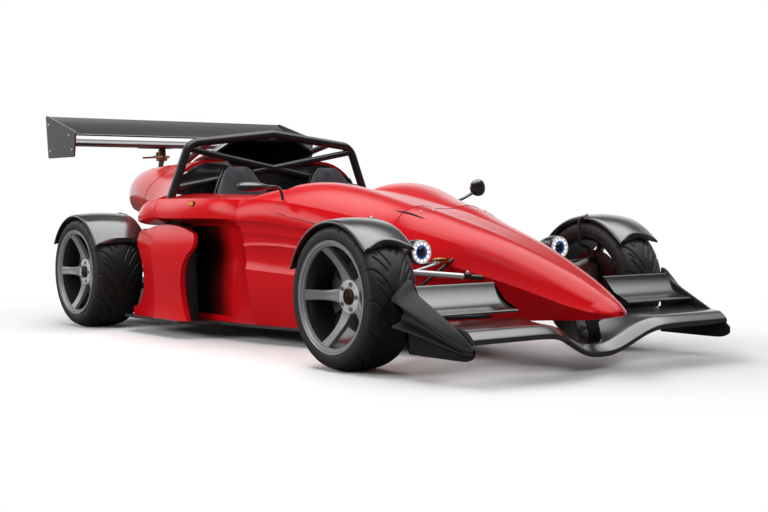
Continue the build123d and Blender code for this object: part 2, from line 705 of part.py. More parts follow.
# Mirrors: a teardrop turned about Y with its back cut flat for the glass, on a stalk
mirror_ahead = 100  # ahead of the cowl's lip
mirror_z = 788
mirror_back = 20
mirror_run = (  # from the cockpit wall, and radius
    ((92, 0), (92, 12)),
    ((92, 12), (180, 39), (272, 25)),
    ((272, 25), (272, 0)),
    ((272, 0), (92, 0)),
)
mirror_stalk = {"radius": 11, "start": (0, 130, 772), "end": (55, -50, 690)}  # from the mirror, wall y, z
mirror_x = lip_x + mirror_ahead
mirror_pieces = [tuple((cockpit_half_width + y, r) for y, r in piece) for piece in mirror_run]
mirror_head = spun(mirror_pieces, mirror_x, mirror_z)
glass_cut = block((mirror_x - 200, 0, 0), (mirror_x - mirror_back, 2 * cockpit_half_width, plain_height))
stalk_ends = []
for x, y, z in (mirror_stalk["start"], mirror_stalk["end"]):
    stalk_ends.append((mirror_x + x, cockpit_half_width + y, z))
mirror_head = (mirror_head - glass_cut).fuse(rod(*stalk_ends, mirror_stalk["radius"]))
for piece in (*flanks, cowl):
    mirror_head = mirror_head - piece
mirror_head = max(mirror_head.solids(), key=lambda solid: solid.center().Y)
save("mirrors", mirror_head, mirrored(mirror_head))

# Wheel, brake and upright details
hub_radius = 58
wheel_boss_radius = 62
disc_radius = 165
disc_thickness = 20
disc_inset = 26  # inboard of the wheel's mounting face
stub_radius = 30
shaft_radius = 16
upright_gap = 6
upright_thickness = 34
upright_half_height = 100
upright_half_length = 42
pin_radius = 10
pin_length = 34
caliper = {"inner": 118, "outer": 190, "start": 152, "turn": 56, "reach": 18, "gap": 5.2, "rim_gap": 6}
caliper_bracket = {"front": -30, "back": -185, "half_height": 45}
steering_arm = {"ahead": 110, "drop": 62, "half_thickness": 8, "root": 30, "side": 20, "eye_radius": 18}
tie_rod_radius = 9
tie_rod_lift = 2
rack_eye = {"radius": 16, "height": 22}
rack_clearance = 5
fender_clearance = 16
fender_thickness = 5
fender_drop = 14  # how much lower the blade's edges are than its crown
fender_notch = 26  # how far the front corners hang below the middle of the front edge
strut_radius = 8
strut_stand = 44  # straight run up from the upright
strut_jog = 16  # rise of the run across to the blade's inner edge
strut_outset = 14  # inboard of that edge
strut_lap = 30  # reach under the blade
strut_bend = 14
eye_radius = 22
eye_half_height = 11
arm_radius = 11
pushrod_radius = 9
# Spokes: radius, share of the way from hub face to rim face, depth and half width
spoke_sections = ((48, 0.0, 32, 37), (135, 0.36, 27, 30), (bead_radius - 6, 1.0, 24, 36))
rim_face_inset = 12
barrel_flare = 18
flange_depth = 9


def tyre(axle_x, spec):
    y, radius = spec["middle_y"], spec["tyre_radius"]
    half, bead = spec["tyre_width"] / 2, spec["rim_width"] / 2 - flange_width - seat_gap
    low, wall = rim_radius + seat_gap, (rim_radius + radius) / 2
    run = [(bead, bead_radius + seat_gap), (bead, low), (half, wall - 6), (half - 3, wall + 18),
           (half - 22, radius - 3), (half - 60, radius)]
    ring = [(y + s, r) for s, r in run] + [(y - s, r) for s, r in reversed(run)]
    return spun(closed_run(ring), axle_x, radius)


def rim(axle_x, spec):
    y, axle_z = spec["middle_y"], spec["tyre_radius"]
    half, face, back = spec["rim_width"] / 2, spec["face"], spec["back"]
    inner = bead_radius - barrel_wall
    run = [(half, rim_radius), (half - flange_width, rim_radius), (half - flange_width, bead_radius)]
    run_in = [(half - barrel_flare, inner), (half, rim_radius - flange_depth)]
    ring = [*run, *((-s, r) for s, r in reversed(run)), *((-s, r) for s, r in reversed(run_in)), *run_in]
    wheel = spun(closed_run([(y + s, r) for s, r in ring]), axle_x, axle_z)
    wheel = wheel.fuse(rod((axle_x, y + back, axle_z), (axle_x, y + face, axle_z), wheel_boss_radius))
    rise = half - rim_face_inset - face
    rings = []
    for r, share, depth, w in spoke_sections:
        out_y = y + face + share * rise
        corners = [(-w, out_y - depth), (w, out_y - depth), (w, out_y), (-w, out_y)]
        rings.append(Wire.make_polygon([(axle_x + px, py, axle_z + r) for px, py in corners]))
    spoke = Solid.make_loft(rings)
    for index in range(spoke_count):
        turned = spoke.rotate(Axis((axle_x, 0, axle_z), (0, 1, 0)), 360 / spoke_count * index)
        wheel = wheel.fuse(turned)
    return wheel


def disc_faces(spec):
    """Outer and inner y of the brake disc."""
    outer = spec["middle_y"] + spec["back"] - seat_gap - disc_inset
    return outer, outer - disc_thickness


def hub_and_disc(axle_x, spec, shaft_end):
    """Hub, brake disc and stub, carried on in a drive shaft to shaft_end where there is one."""
    axle_z = spec["tyre_radius"]
    disc_out, disc_in = disc_faces(spec)
    stub_end = disc_in - upright_gap - upright_thickness - upright_gap
    hub = rod((axle_x, disc_out + disc_inset, axle_z), (axle_x, disc_out, axle_z), hub_radius)
    hub = hub.fuse(rod((axle_x, disc_out, axle_z), (axle_x, disc_in, axle_z), disc_radius))
    hub = hub.fuse(rod((axle_x, disc_out, axle_z), (axle_x, stub_end, axle_z), stub_radius))
    if shaft_end is not None:
        hub = hub.fuse(rod((axle_x, disc_out, axle_z), (axle_x, shaft_end, axle_z), shaft_radius))
    return hub


def upright(axle_x, spec, steered):
    """Upright with its two pivot pins, brake caliper and, on steered wheels, the steering arm."""
    axle_z = spec["tyre_radius"]
    disc_out, disc_in = disc_faces(spec)
    outer = disc_in - upright_gap
    inner = outer - upright_thickness
    pin_y = (outer + inner) / 2
    h = upright_half_height
    frame_part = block((axle_x - upright_half_length, inner, axle_z - h),
                       (axle_x + upright_half_length, outer, axle_z + h))
    for way in (-1, 1):
        pin = rod((axle_x, pin_y, axle_z + way * (h - 5)), (axle_x, pin_y, axle_z + way * (h + pin_length)),
                  pin_radius)
        frame_part = frame_part.fuse(pin)
    reach_y = disc_out + caliper["reach"]
    ring = [(outer, caliper["inner"]), (outer, caliper["outer"]), (reach_y, caliper["outer"]),
            (reach_y, caliper["inner"])]
    slot_low, slot_high = caliper["inner"] - 18, disc_radius + caliper["rim_gap"]
    slot = [(disc_in - caliper["gap"], slot_low), (disc_in - caliper["gap"], slot_high),
            (disc_out + caliper["gap"], slot_high), (disc_out + caliper["gap"], slot_low)]
    clamp = spun(closed_run(ring), axle_x, axle_z, caliper["turn"], caliper["start"])
    clamp = clamp - spun(closed_run(slot), axle_x, axle_z, caliper["turn"] + 14, caliper["start"] - 7)
    bracket = block((axle_x + caliper_bracket["back"], inner, axle_z - caliper_bracket["half_height"]),
                    (axle_x + caliper_bracket["front"], outer, axle_z + caliper_bracket["half_height"]))
    frame_part = frame_part.fuse(bracket).fuse(clamp)
    if steered:
        arm_z = axle_z - steering_arm["drop"]
        half = steering_arm["half_thickness"]
        eye_x, eye_y = axle_x + steering_arm["ahead"], inner - steering_arm["side"] / 2
        arm = block((axle_x + steering_arm["root"], inner - steering_arm["side"], arm_z - half),
                    (eye_x, outer, arm_z + half))
        eye = rod((eye_x, eye_y, arm_z - half), (eye_x, eye_y, arm_z + half), steering_arm["eye_radius"])
        frame_part = frame_part.fuse(arm).fuse(eye)
    bore = rod((axle_x, inner - 50, axle_z), (axle_x, outer + 50, axle_z), stub_radius + seat_gap)
    return frame_part - bore, pin_y, inner


def bent_rod(route, radius, bend):
    path = FilletPolyline(*route, radius=bend)
    section = Face(Wire.make_circle(radius, Plane(origin=route[0], z_dir=path % 0)))
    return Solid.sweep(section, Wire(path.edges()))


def front_notch(axle_x, axle_z, blade_radius, start, inner_y, outer_y):
    """The round bite out of a fender's front edge: a drum whose axis stands square to the blade."""
    half_width = (outer_y - inner_y) / 2
    radius = (half_width ** 2 + fender_notch ** 2) / (2 * fender_notch)
    out = Vector(cos(radians(start)), 0, sin(radians(start)))
    down = Vector(out.Z, 0, -out.X)
    middle = Vector(axle_x, (inner_y + outer_y) / 2, axle_z) + out * blade_radius
    middle = middle + down * (radius - fender_notch)
    return rod(middle - out * half_width, middle + out * half_width, radius)


def fender(axle_x, spec, start, turn, inner_y, outer_y, upright_top, pin_y):
    """Cycle fender: a crowned blade arched over the tyre, on a bent strut up from the upright."""
    axle_z = spec["tyre_radius"]
    low = axle_z + fender_clearance
    high = low + fender_thickness
    middle_y = (inner_y + outer_y) / 2
    blade = [((inner_y, high - fender_drop), (middle_y, high), (outer_y, high - fender_drop)),
             ((outer_y, high - fender_drop), (outer_y, low - fender_drop)),
             ((outer_y, low - fender_drop), (middle_y, low), (inner_y, low - fender_drop)),
             ((inner_y, low - fender_drop), (inner_y, high - fender_drop))]
    arch = spun(blade, axle_x, axle_z, turn, start)
    arch = arch - front_notch(axle_x, axle_z, low, start, inner_y, outer_y)
    strut_y = inner_y - strut_outset
    bend_z = upright_top + strut_stand
    blade_z = axle_z + (low + high - fender_drop) / 2
    route = [(axle_x, pin_y, upright_top + seat_gap), (axle_x, pin_y, bend_z),
             (axle_x, strut_y, bend_z + strut_jog), (axle_x, strut_y, blade_z),
             (axle_x, inner_y + strut_lap, blade_z)]
    return arch.fuse(bent_rod(route, strut_radius, strut_bend))


def wishbone(pin_x, pin_y, eye_z, inner_points, carriers):
    """A V of two tubes from an eye on the upright's pin to the carriers it is bolted to."""
    eye = rod((pin_x, pin_y, eye_z - eye_half_height), (pin_x, pin_y, eye_z + eye_half_height), eye_radius)
    for ahead, y, z in inner_points:
        eye = eye.fuse(rod((pin_x, pin_y, eye_z), (pin_x + ahead, y, z), arm_radius))
    bore = rod((pin_x, pin_y, eye_z - 2 * eye_half_height), (pin_x, pin_y, eye_z + 2 * eye_half_height),
               pin_radius + seat_gap)
    eye = eye - bore
    for carrier in carriers:
        eye = eye - carrier
    return largest(eye)


# Each axle: inner ends of the upper and lower wishbones ahead of it, y and z; the fender's first angle
# and arc in degrees from straight ahead, and how far its inner edge passes the tyre's
axles = (
    {"name": "front", "x": front_axle_x, "wheel": front_wheel, "steered": True, "arch": (40, 120), "lap": 2,
     "upper": ((260, 180, 388), (-220, 240, 390)), "lower": ((250, 140, 222), (-230, 220, 205))},
    {"name": "rear", "x": rear_axle_x, "wheel": rear_wheel, "steered": False, "arch": (29, 122), "lap": 26,
     "upper": ((150, 120, 430), (-150, 120, 430)), "lower": ((160, 120, 252), (-170, 120, 252))},
)
pushrod_ends = ((6, 560, 250), (60, 250, 470))  # ahead of the front axle, y and z
fender_inset = 2

for axle in axles:
    name, axle_x, spec, steered = axle["name"], axle["x"], axle["wheel"], axle["steered"]
    axle_z = spec["tyre_radius"]
    half = spec["tyre_width"] / 2
    upright_solid, pin_y, upright_inner = upright(axle_x, spec, steered)
    outer_y = spec["middle_y"] + half - fender_inset
    inner_y = spec["middle_y"] - half - axle["lap"]
    top = axle_z + upright_half_height + pin_length
    turning = {
        "tyre": tyre(axle_x, spec),
        "rim": rim(axle_x, spec),
        "hub": hub_and_disc(axle_x, spec, None if steered else gearbox_half_width + seat_gap),
        "fender": fender(axle_x, spec, *axle["arch"], inner_y, outer_y, top, pin_y),
    }
    for node, solid in turning.items():
        save(f"{node}_{name}_left", solid)
        save(f"{node}_{name}_right", mirrored(solid))
    eye_rise = upright_half_height + pin_length / 2
    carriers = [nose] if steered else [gearbox, engine]
    upper = wishbone(axle_x, pin_y, axle_z + eye_rise, axle["upper"], carriers)
    lower = wishbone(axle_x, pin_y, axle_z - eye_rise, axle["lower"], carriers)
    save(f"{name}_wishbones", upper, lower, mirrored(upper), mirrored(lower))
    if not steered:
        save("rear_uprights", upright_solid, mirrored(upright_solid))
        continue
    save("knuckle_left", upright_solid)
    save("knuckle_right", mirrored(upright_solid))
    push_ends = [(axle_x + ahead, y, z) for ahead, y, z in pushrod_ends]
    push = largest(rod(*push_ends, pushrod_radius) - nose - lower)
    save("front_pushrods", push, mirrored(push))

    # Rack and tie rods in one bar between the steering arms, through a bore in the nose
    arm_top = axle_z - steering_arm["drop"] + steering_arm["half_thickness"] + seat_gap
    eye_x, eye_y = axle_x + steering_arm["ahead"], upright_inner - steering_arm["side"] / 2
    rack_z = arm_top + tie_rod_radius + tie_rod_lift
    rack = rod((eye_x, eye_y - 4, rack_z), (eye_x, 4 - eye_y, rack_z), tie_rod_radius)
    for way in (-1, 1):
        eye = rod((eye_x, way * eye_y, arm_top), (eye_x, way * eye_y, arm_top + rack_eye["height"]),
                  rack_eye["radius"])
        rack = rack.fuse(eye)
    save("steering_rack", rack)
    rack_bore = rod((eye_x, -eye_y, rack_z), (eye_x, eye_y, rack_z), tie_rod_radius + rack_clearance)
    save("nose_cone", nose - rack_bore)
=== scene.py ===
import math
import bmesh
import bpy
import numpy as np
from mathutils import Matrix, Vector
from mathutils.bvhtree import BVHTree


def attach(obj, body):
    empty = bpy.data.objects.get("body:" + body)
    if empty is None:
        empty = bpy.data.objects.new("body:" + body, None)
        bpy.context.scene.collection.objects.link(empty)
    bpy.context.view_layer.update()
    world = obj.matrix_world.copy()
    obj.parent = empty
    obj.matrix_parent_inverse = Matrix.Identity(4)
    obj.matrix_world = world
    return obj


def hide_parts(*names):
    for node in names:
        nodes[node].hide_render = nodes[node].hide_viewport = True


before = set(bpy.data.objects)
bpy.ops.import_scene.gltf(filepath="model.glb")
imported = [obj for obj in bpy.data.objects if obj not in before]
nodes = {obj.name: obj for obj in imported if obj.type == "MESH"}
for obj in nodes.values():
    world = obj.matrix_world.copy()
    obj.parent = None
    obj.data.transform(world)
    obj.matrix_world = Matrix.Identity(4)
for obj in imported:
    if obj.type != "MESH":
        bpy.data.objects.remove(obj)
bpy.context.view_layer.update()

scene = bpy.context.scene
print("frame loaded:", len(nodes), "nodes")


# Finishes: small helpers that add one node each

def newFinish(name, sockets):
    material = bpy.data.materials.new(name)
    material.use_nodes = True
    shader = material.node_tree.nodes["Principled BSDF"]
    for socket, value in sockets.items():
        shader.inputs[socket].default_value = value
    return material, material.node_tree, shader


def addNode(tree, kind, inputs):
    # a shader node, each named input linked to a socket or set to a value
    node = tree.nodes.new("ShaderNode" + kind)
    for socket, value in inputs.items():
        if isinstance(value, bpy.types.NodeSocket):
            tree.links.new(value, node.inputs[socket])
        else:
            node.inputs[socket].default_value = value
    return node


def objectPoint(tree, scale=(1, 1, 1), turn=(0, 0, 0)):
    place = addNode(tree, "TexCoord", {}).outputs["Object"]
    return addNode(tree, "Mapping", {"Vector": place, "Rotation": turn, "Scale": scale}).outputs["Vector"]


def noise(tree, point, scale, detail):
    return addNode(tree, "TexNoise", {"Vector": point, "Scale": scale, "Detail": detail}).outputs["Fac"]


def wave(tree, point, scale, direction="X"):
    node = addNode(tree, "TexWave", {"Vector": point, "Scale": scale})
    node.bands_direction = direction
    return node.outputs["Fac"]


def maths(tree, kind, first, second):
    node = addNode(tree, "Math", {0: first, 1: second})
    node.operation = kind
    return node.outputs[0]


def ramp(tree, value, *stops):
    node = addNode(tree, "ValToRGB", {"Fac": value})
    elements = node.color_ramp.elements
    while len(elements) < len(stops):
        elements.new(0.5)
    for element, (place, colour) in zip(elements, stops):
        element.position = place
        element.color = (*colour, 1)
    return node.outputs["Color"]


def grey(level):
    return (level, level, level)


def bump(tree, shader, height, strength, distance):
    node = addNode(tree, "Bump", {"Height": height, "Strength": strength, "Distance": distance})
    tree.links.new(node.outputs["Normal"], shader.inputs["Normal"])


paintCoat = {"Coat Roughness": 0.15, "Coat IOR": 1.37}


def redPaint():
    # fine metallic flake in a deep red under a hard clear coat, with a faint orange peel
    material, tree, shader = newFinish("redPaint", {"Roughness": 0.45, "Specular IOR Level": 0.12,
                                                    "Coat Weight": 1.0, **paintCoat})
    point = objectPoint(tree)
    flake = noise(tree, point, 1400, 1.0)
    colour = ramp(tree, flake, (0.3, (0.5, 0.001, 0.004)), (0.62, (0.68, 0.003, 0.008)),
                  (0.8, (0.8, 0.01, 0.016)))
    tree.links.new(colour, shader.inputs["Base Color"])
    bump(tree, shader, noise(tree, point, 240, 2.0), 0.03, 0.0003)
    return material


def paintedDuctShade():
    # painted shade: the red paint and its coat falling to a dull black along the car towards the inlet's depth,
    # standing for the shadow in the recess
    material, tree, shader = newFinish("paintedDuctShade", {"Roughness": 0.5, "Specular IOR Level": 0.1, **paintCoat})
    along = addNode(tree, "SeparateXYZ", {0: objectPoint(tree)}).outputs["X"]
    cloud = maths(tree, "MULTIPLY", noise(tree, objectPoint(tree), 9, 2.0), 0.03)
    depth = maths(tree, "ADD", maths(tree, "ADD", along, cloud), 1.0)
    colour = ramp(tree, depth, (0.5, (0.002, 0.002, 0.0022)), (0.64, (0.035, 0.001, 0.001)),
                  (0.8, (0.62, 0.003, 0.007)))
    tree.links.new(colour, shader.inputs["Base Color"])
    coat = ramp(tree, depth, (0.55, grey(0.0)), (0.8, grey(1.0)))
    tree.links.new(coat, shader.inputs["Coat Weight"])
    return material


def blackComposite(name, roughness, level):
    # twill: two crossing diagonal waves, very faint under a clear coat
    material, tree, shader = newFinish(name, {"Roughness": roughness, "Coat Weight": 1.0, "Coat Roughness": 0.14,
                                              "Coat IOR": 1.75})
    weft = wave(tree, objectPoint(tree, turn=(0.6, 0.4, math.radians(45))), 90)
    warp = wave(tree, objectPoint(tree, turn=(0.6, 0.4, math.radians(-45))), 90, "Y")
    weave = maths(tree, "MULTIPLY", weft, warp)
    colour = ramp(tree, weave, (0.0, grey(level * 0.85)), (1.0, grey(level * 1.2)))
    tree.links.new(colour, shader.inputs["Base Color"])
    bump(tree, shader, noise(tree, objectPoint(tree), 220, 2.0), 0.03, 0.0003)
    return material


def speckled(name, low, high, scale, sockets, grain=0.08):
    # two tones by noise, with noise at double the scale as relief
    material, tree, shader = newFinish(name, sockets)
    point = objectPoint(tree)
    colour = ramp(tree, noise(tree, point, scale, 3.0), (0.3, low), (0.7, high))
    tree.links.new(colour, shader.inputs["Base Color"])
    bump(tree, shader, noise(tree, point, scale * 2, 2.0), grain, 0.0006)
    return material


def turnedMetal(name, low, high, pitch, sockets):
    # lathe marks: fine bands of tone along the wheel's axle, which runs along Y, broken by noise
    material, tree, shader = newFinish(name, sockets)
    point = objectPoint(tree, scale=(1, 0.2, 1))
    tone = maths(tree, "MULTIPLY", wave(tree, point, pitch, "Y"), noise(tree, point, 60, 2.0))
    tree.links.new(ramp(tree, tone, (0.1, low), (0.7, high)), shader.inputs["Base Color"])
    bump(tree, shader, tone, 0.06, 0.0003)
    return material


def seatCloth():
    # woven cloth: two fine crossing waves over a slow worn cloud
    material, tree, shader = newFinish("seatCloth", {"Roughness": 0.92, "Sheen Weight": 0.35,
                                                     "Sheen Roughness": 0.4})
    point = objectPoint(tree)
    weave = maths(tree, "MULTIPLY", wave(tree, point, 260, "X"), wave(tree, point, 260, "Z"))
    worn = maths(tree, "MULTIPLY", noise(tree, point, 14, 4.0), weave)
    colour = ramp(tree, worn, (0.0, (0.026, 0.026, 0.03)), (0.4, (0.1, 0.1, 0.115)))
    tree.links.new(colour, shader.inputs["Base Color"])
    bump(tree, shader, weave, 0.5, 0.0008)
    return material


def glowing(name, colour, strength):
    # lit element: colour falls off a little in grains, as a diffuser does
    material, tree, shader = newFinish(name, {"Roughness": 0.2, "Emission Strength": strength})
    dull = tuple(0.85 * channel for channel in colour)
    shade = ramp(tree, noise(tree, objectPoint(tree), 300, 2.0), (0.2, dull), (0.7, colour))
    tree.links.new(shade, shader.inputs["Base Color"])
    tree.links.new(shade, shader.inputs["Emission Color"])
    return material


finishes = {
    "red_paint": redPaint(),
    "black_composite": blackComposite("blackComposite", 0.34, 0.014),
    "black_steel": speckled(
        "blackSteel", grey(0.008), grey(0.018), 300,
        {"Roughness": 0.32, "Coat Weight": 0.3, "Coat Roughness": 0.2}),
    "cast_alloy": speckled("castAlloy", grey(0.16), grey(0.26), 180, {"Roughness": 0.5, "Metallic": 0.9}, 0.2),
    "gold_anodised": speckled(
        "goldAnodised", (0.36, 0.24, 0.07), (0.56, 0.4, 0.15), 200,
        {"Roughness": 0.3, "Metallic": 1.0}),
    "gunmetal_alloy": speckled(
        "gunmetalAlloy", (0.26, 0.262, 0.275), (0.36, 0.362, 0.38), 250,
        {"Roughness": 0.38, "Metallic": 0.35, "Coat Weight": 0.4, "Coat Roughness": 0.12}, 0.05),
    "brake_iron": turnedMetal("brakeIron", grey(0.16), grey(0.32), 60, {"Roughness": 0.38, "Metallic": 1.0}),
    "tyre_rubber": speckled("tyreRubber", grey(0.009), grey(0.02), 160, {"Roughness": 0.5}, 0.14),
    "exhaust_steel": speckled(
        "exhaustSteel", (0.3, 0.24, 0.2), (0.5, 0.46, 0.42), 30,
        {"Roughness": 0.28, "Metallic": 1.0}, 0.04),
    "seat_cloth": seatCloth(),
    "lamp_glass": speckled("lampGlass", grey(0.75), grey(0.9), 80, {"Roughness": 0.12}, 0.02),
    "red_lens": speckled(
        "redLens", (0.3, 0.003, 0.004), (0.5, 0.01, 0.01), 90,
        {"Roughness": 0.12, "Coat Weight": 0.6}, 0.1),
}
extras = {
    "seamShadow": speckled("seamShadow", grey(0.002), grey(0.005), 200, {"Roughness": 0.8}),
    "brightAlloy": turnedMetal("brightAlloy", grey(0.7), grey(0.92), 90, {"Roughness": 0.28, "Metallic": 0.35}),
    "darkBronze": speckled(
        "darkBronze", (0.03, 0.02, 0.012), (0.06, 0.04, 0.022), 150,
        {"Roughness": 0.35, "Metallic": 0.8}),
    "barrelBlack": speckled("barrelBlack", grey(0.008), grey(0.02), 220, {"Roughness": 0.3, "Coat Weight": 0.4}),
    "whiteLed": glowing("whiteLed", (0.92, 0.95, 1.0), 1.0),
    "blueGlow": glowing("blueGlow", (0.03, 0.13, 0.5), 0.35),
    "darkLens": speckled(
        "darkLens", grey(0.006), (0.01, 0.014, 0.02), 60,
        {"Roughness": 0.06, "Coat Weight": 1.0}, 0.0),
    "amberLens": speckled(
        "amberLens", (0.7, 0.2, 0.01), (0.85, 0.3, 0.02), 120,
        {"Roughness": 0.18, "Coat Weight": 0.5}, 0.1),
    "satinBlack": speckled(
        "satinBlack", grey(0.012), grey(0.02), 180,
        {"Roughness": 0.42, "Specular IOR Level": 0.2}, 0.05),
    "satinSilver": speckled("satinSilver", grey(0.5), grey(0.68), 240, {"Roughness": 0.34, "Metallic": 0.5}, 0.06),
    "paintedDuctShade": paintedDuctShade(),
    "mirrorGlass": speckled("mirrorGlass", grey(0.78), grey(0.86), 20, {"Roughness": 0.03, "Metallic": 1.0}, 0.0),
}
for node in nodes.values():
    slotName = node.data.materials[0].name.split(".")[0]
    node.data.materials[0] = finishes[slotName]
print("finishes set")


# Shapes: grids of points that become meshes

alongCar, acrossCar, upCar = (1, 0, 0), (0, 1, 0), (0, 0, 1)


def unit(vectors):
    # each vector over its own length
    vectors = np.asarray(vectors, float)
    return vectors / np.linalg.norm(vectors, axis=-1, keepdims=True)


def crossAxes(axis):
    # the axis and two directions square to it and to each other
    axis = unit(axis)
    guide = np.array(upCar if abs(axis[2]) < 0.9 else alongCar, float)
    side = unit(np.cross(axis, guide))
    return axis, side, np.cross(side, axis)


def fullTurn(count):
    # even angles once round, the last a step short of the first
    return np.linspace(0, 2 * math.pi, count, endpoint=False)


def gridPoints(x, y, z):
    return np.stack(np.broadcast_arrays(x, y, z), -1)


def patch(points, rowsMeet=False, columnsMeet=False, finish=0):
    return {"points": np.asarray(points, float), "meet": (rowsMeet, columnsMeet), "finish": finish}


def capped(rings, finish=0, both=False):
    # closed rings in a row, the first drawn to its middle, the last too where both ends are closed and else open
    middles = np.broadcast_to(rings.mean(1, keepdims=True), rings.shape)
    last = middles[-1:] if both else middles[:0]
    return patch(np.concatenate([middles[:1], rings, last]), columnsMeet=True, finish=finish)


def mirrored(patches):
    # the same grids with the way across the car turned round
    flip = np.array([1, -1, 1.0])
    return [{**one, "points": one["points"] * flip} for one in patches]


def bothSides(patches):
    return patches + mirrored(patches)


def makePiece(name, patches, finishList, body, replaced=(), crease=35):
    # each grid's neighbouring rows and columns become quads; grids that meet are joined at their ends
    corners, quads, picks, start = [], [], [], 0
    for one in patches:
        rows, columns = one["points"].shape[:2]
        index = start + np.arange(rows * columns).reshape(rows, columns)
        if one["meet"][0]:
            index = np.vstack([index, index[:1]])
        if one["meet"][1]:
            index = np.hstack([index, index[:, :1]])
        faces = np.stack([index[:-1, :-1], index[1:, :-1], index[1:, 1:], index[:-1, 1:]], -1).reshape(-1, 4)
        corners.append(one["points"].reshape(-1, 3))
        quads.append(faces)
        picks.append(np.full(len(faces), one["finish"]))
        start += rows * columns
    mesh = bpy.data.meshes.new(name)
    mesh.from_pydata(np.concatenate(corners).tolist(), [], np.concatenate(quads).tolist())
    mesh.polygons.foreach_set("material_index", np.concatenate(picks).astype(np.int32))
    for finish in finishList:
        mesh.materials.append(finish)
    work = bmesh.new()
    work.from_mesh(mesh)
    bmesh.ops.remove_doubles(work, verts=work.verts, dist=1e-6)
    bmesh.ops.dissolve_degenerate(work, edges=work.edges, dist=1e-7)
    bmesh.ops.recalc_face_normals(work, faces=work.faces)
    work.to_mesh(mesh)
    work.free()
    mesh.polygons.foreach_set("use_smooth", np.ones(len(mesh.polygons), bool))
    mesh.set_sharp_from_angle(angle=math.radians(crease))
    thing = bpy.data.objects.new(name, mesh)
    scene.collection.objects.link(thing)
    if body:
        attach(thing, body)
    if replaced:
        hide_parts(*replaced)
    return thing


def tube(path, radius, around=10, finish=0):
    # a circle carried along the path, square to it, and drawn to a point at both ends
    path = np.asarray(path, float)
    along = unit(np.gradient(path, axis=0))
    guide = np.where(np.abs(along[:, 2:]) < 0.9, [upCar], [alongCar])
    side = unit(np.cross(along, guide))
    up = np.cross(side, along)
    turn = fullTurn(around)[None, :, None]
    ring = side[:, None] * np.cos(turn) + up[:, None] * np.sin(turn)
    return capped(path[:, None] + ring * np.broadcast_to(radius, len(path))[:, None, None], finish, True)


def line(start, end, count):
    # even steps from the start to the end
    share = np.linspace(0, 1, count)[:, None]
    return np.asarray(start, float) * (1 - share) + np.asarray(end, float) * share


def lathe(profile, centre, axis, around=48, finish=0, closed=False):
    # a profile of (way along the axis, radius) turned round the axis
    axis, side, up = crossAxes(axis)
    profile = np.asarray(profile, float)
    turn = fullTurn(around)[None, :, None]
    out = side * np.cos(turn) + up * np.sin(turn)
    grid = np.asarray(centre, float) + profile[:, 0, None, None] * axis + profile[:, 1, None, None] * out
    return patch(grid, rowsMeet=closed, columnsMeet=True, finish=finish)


def pebble(centre, half, power=0.5, finish=0, count=14):
    # a rounded box: cosines and sines of two angles raised to a power below one
    rise, turn = np.meshgrid(np.linspace(-math.pi / 2, math.pi / 2, count), fullTurn(2 * count), indexing="ij")

    def soft(value):
        return np.sign(value) * np.abs(value) ** power

    level = soft(np.cos(rise))
    grid = gridPoints(level * soft(np.cos(turn)), level * soft(np.sin(turn)), soft(np.sin(rise)))
    return patch(np.asarray(centre) + grid * np.asarray(half), columnsMeet=True, finish=finish)


def button(centre, axis, radius, height, finish=0):
    # a domed screw head with a sunk socket
    profile = ((-0.4, 0), (-0.4, 1.0), (0.3, 1.0), (0.75, 0.8), (0.95, 0.5), (0.95, 0.42), (0.35, 0.38), (0.35, 0))
    return lathe([(a * height, r * radius) for a, r in profile], centre, axis, 14, finish)


def splineWeights(count, controls, closed=False):
    # share of each control point at even places along a cubic B-spline; open ones reach their end points
    place = np.linspace(0, controls if closed else controls - 1, count, endpoint=not closed)
    first = np.minimum(np.floor(place).astype(int), controls - (1 if closed else 2))
    past = place - first
    basis = np.stack([(1 - past) ** 3, 3 * past ** 3 - 6 * past ** 2 + 4,
                      -3 * past ** 3 + 3 * past ** 2 + 3 * past + 1, past ** 3], 1) / 6
    rows = np.arange(count)
    padded = np.zeros((count, controls + 2))
    for step in range(4):
        np.add.at(padded, (rows, (first + step - 1) % controls + 1 if closed else first + step), basis[:, step])
    weights = padded[:, 1:-1].copy()
    if not closed:
        weights[:, 0] += 2 * padded[:, 0]
        weights[:, 1] -= padded[:, 0]
        weights[:, -1] += 2 * padded[:, -1]
        weights[:, -2] -= padded[:, -1]
    return weights


def smoothPath(points, count):
    # places along the cubic B-spline of the points
    points = np.asarray(points, float)
    return splineWeights(count, len(points)) @ points


def splineLoft(net, rows, columns, finish=0):
    # control rings drawn out to a smooth skin by splines along and round them, open at its last end
    net = np.asarray(net, float)
    grid = np.einsum("ri,ijk,cj->rck", splineWeights(rows, len(net)), net,
                     splineWeights(columns, net.shape[1], True))
    return capped(grid, finish)


def meshPoints(mesh):
    place = np.empty(len(mesh.vertices) * 3)
    mesh.vertices.foreach_get("co", place)
    return place.reshape(-1, 3)


def sideTree(*names):
    # one search tree over the triangles of the named CAD nodes
    corners, faces, start = [], [], 0
    for name in names:
        mesh = nodes[name].data
        corner = np.empty(len(mesh.loops), int)
        mesh.loops.foreach_get("vertex_index", corner)
        corners.append(meshPoints(mesh))
        faces.append(corner.reshape(-1, 3) + start)
        start += len(mesh.vertices)
    return BVHTree.FromPolygons(np.concatenate(corners).tolist(), np.concatenate(faces).tolist())


def laid(tree, starts, way):
    # points dropped on the surface along a direction; those that miss are left out
    hits = [tree.ray_cast(Vector(place), Vector(way))[0] for place in starts]
    return np.array([hit for hit in hits if hit is not None])


# Wheels: tyre, rim and hub dress, worked out for a left wheel and mirrored

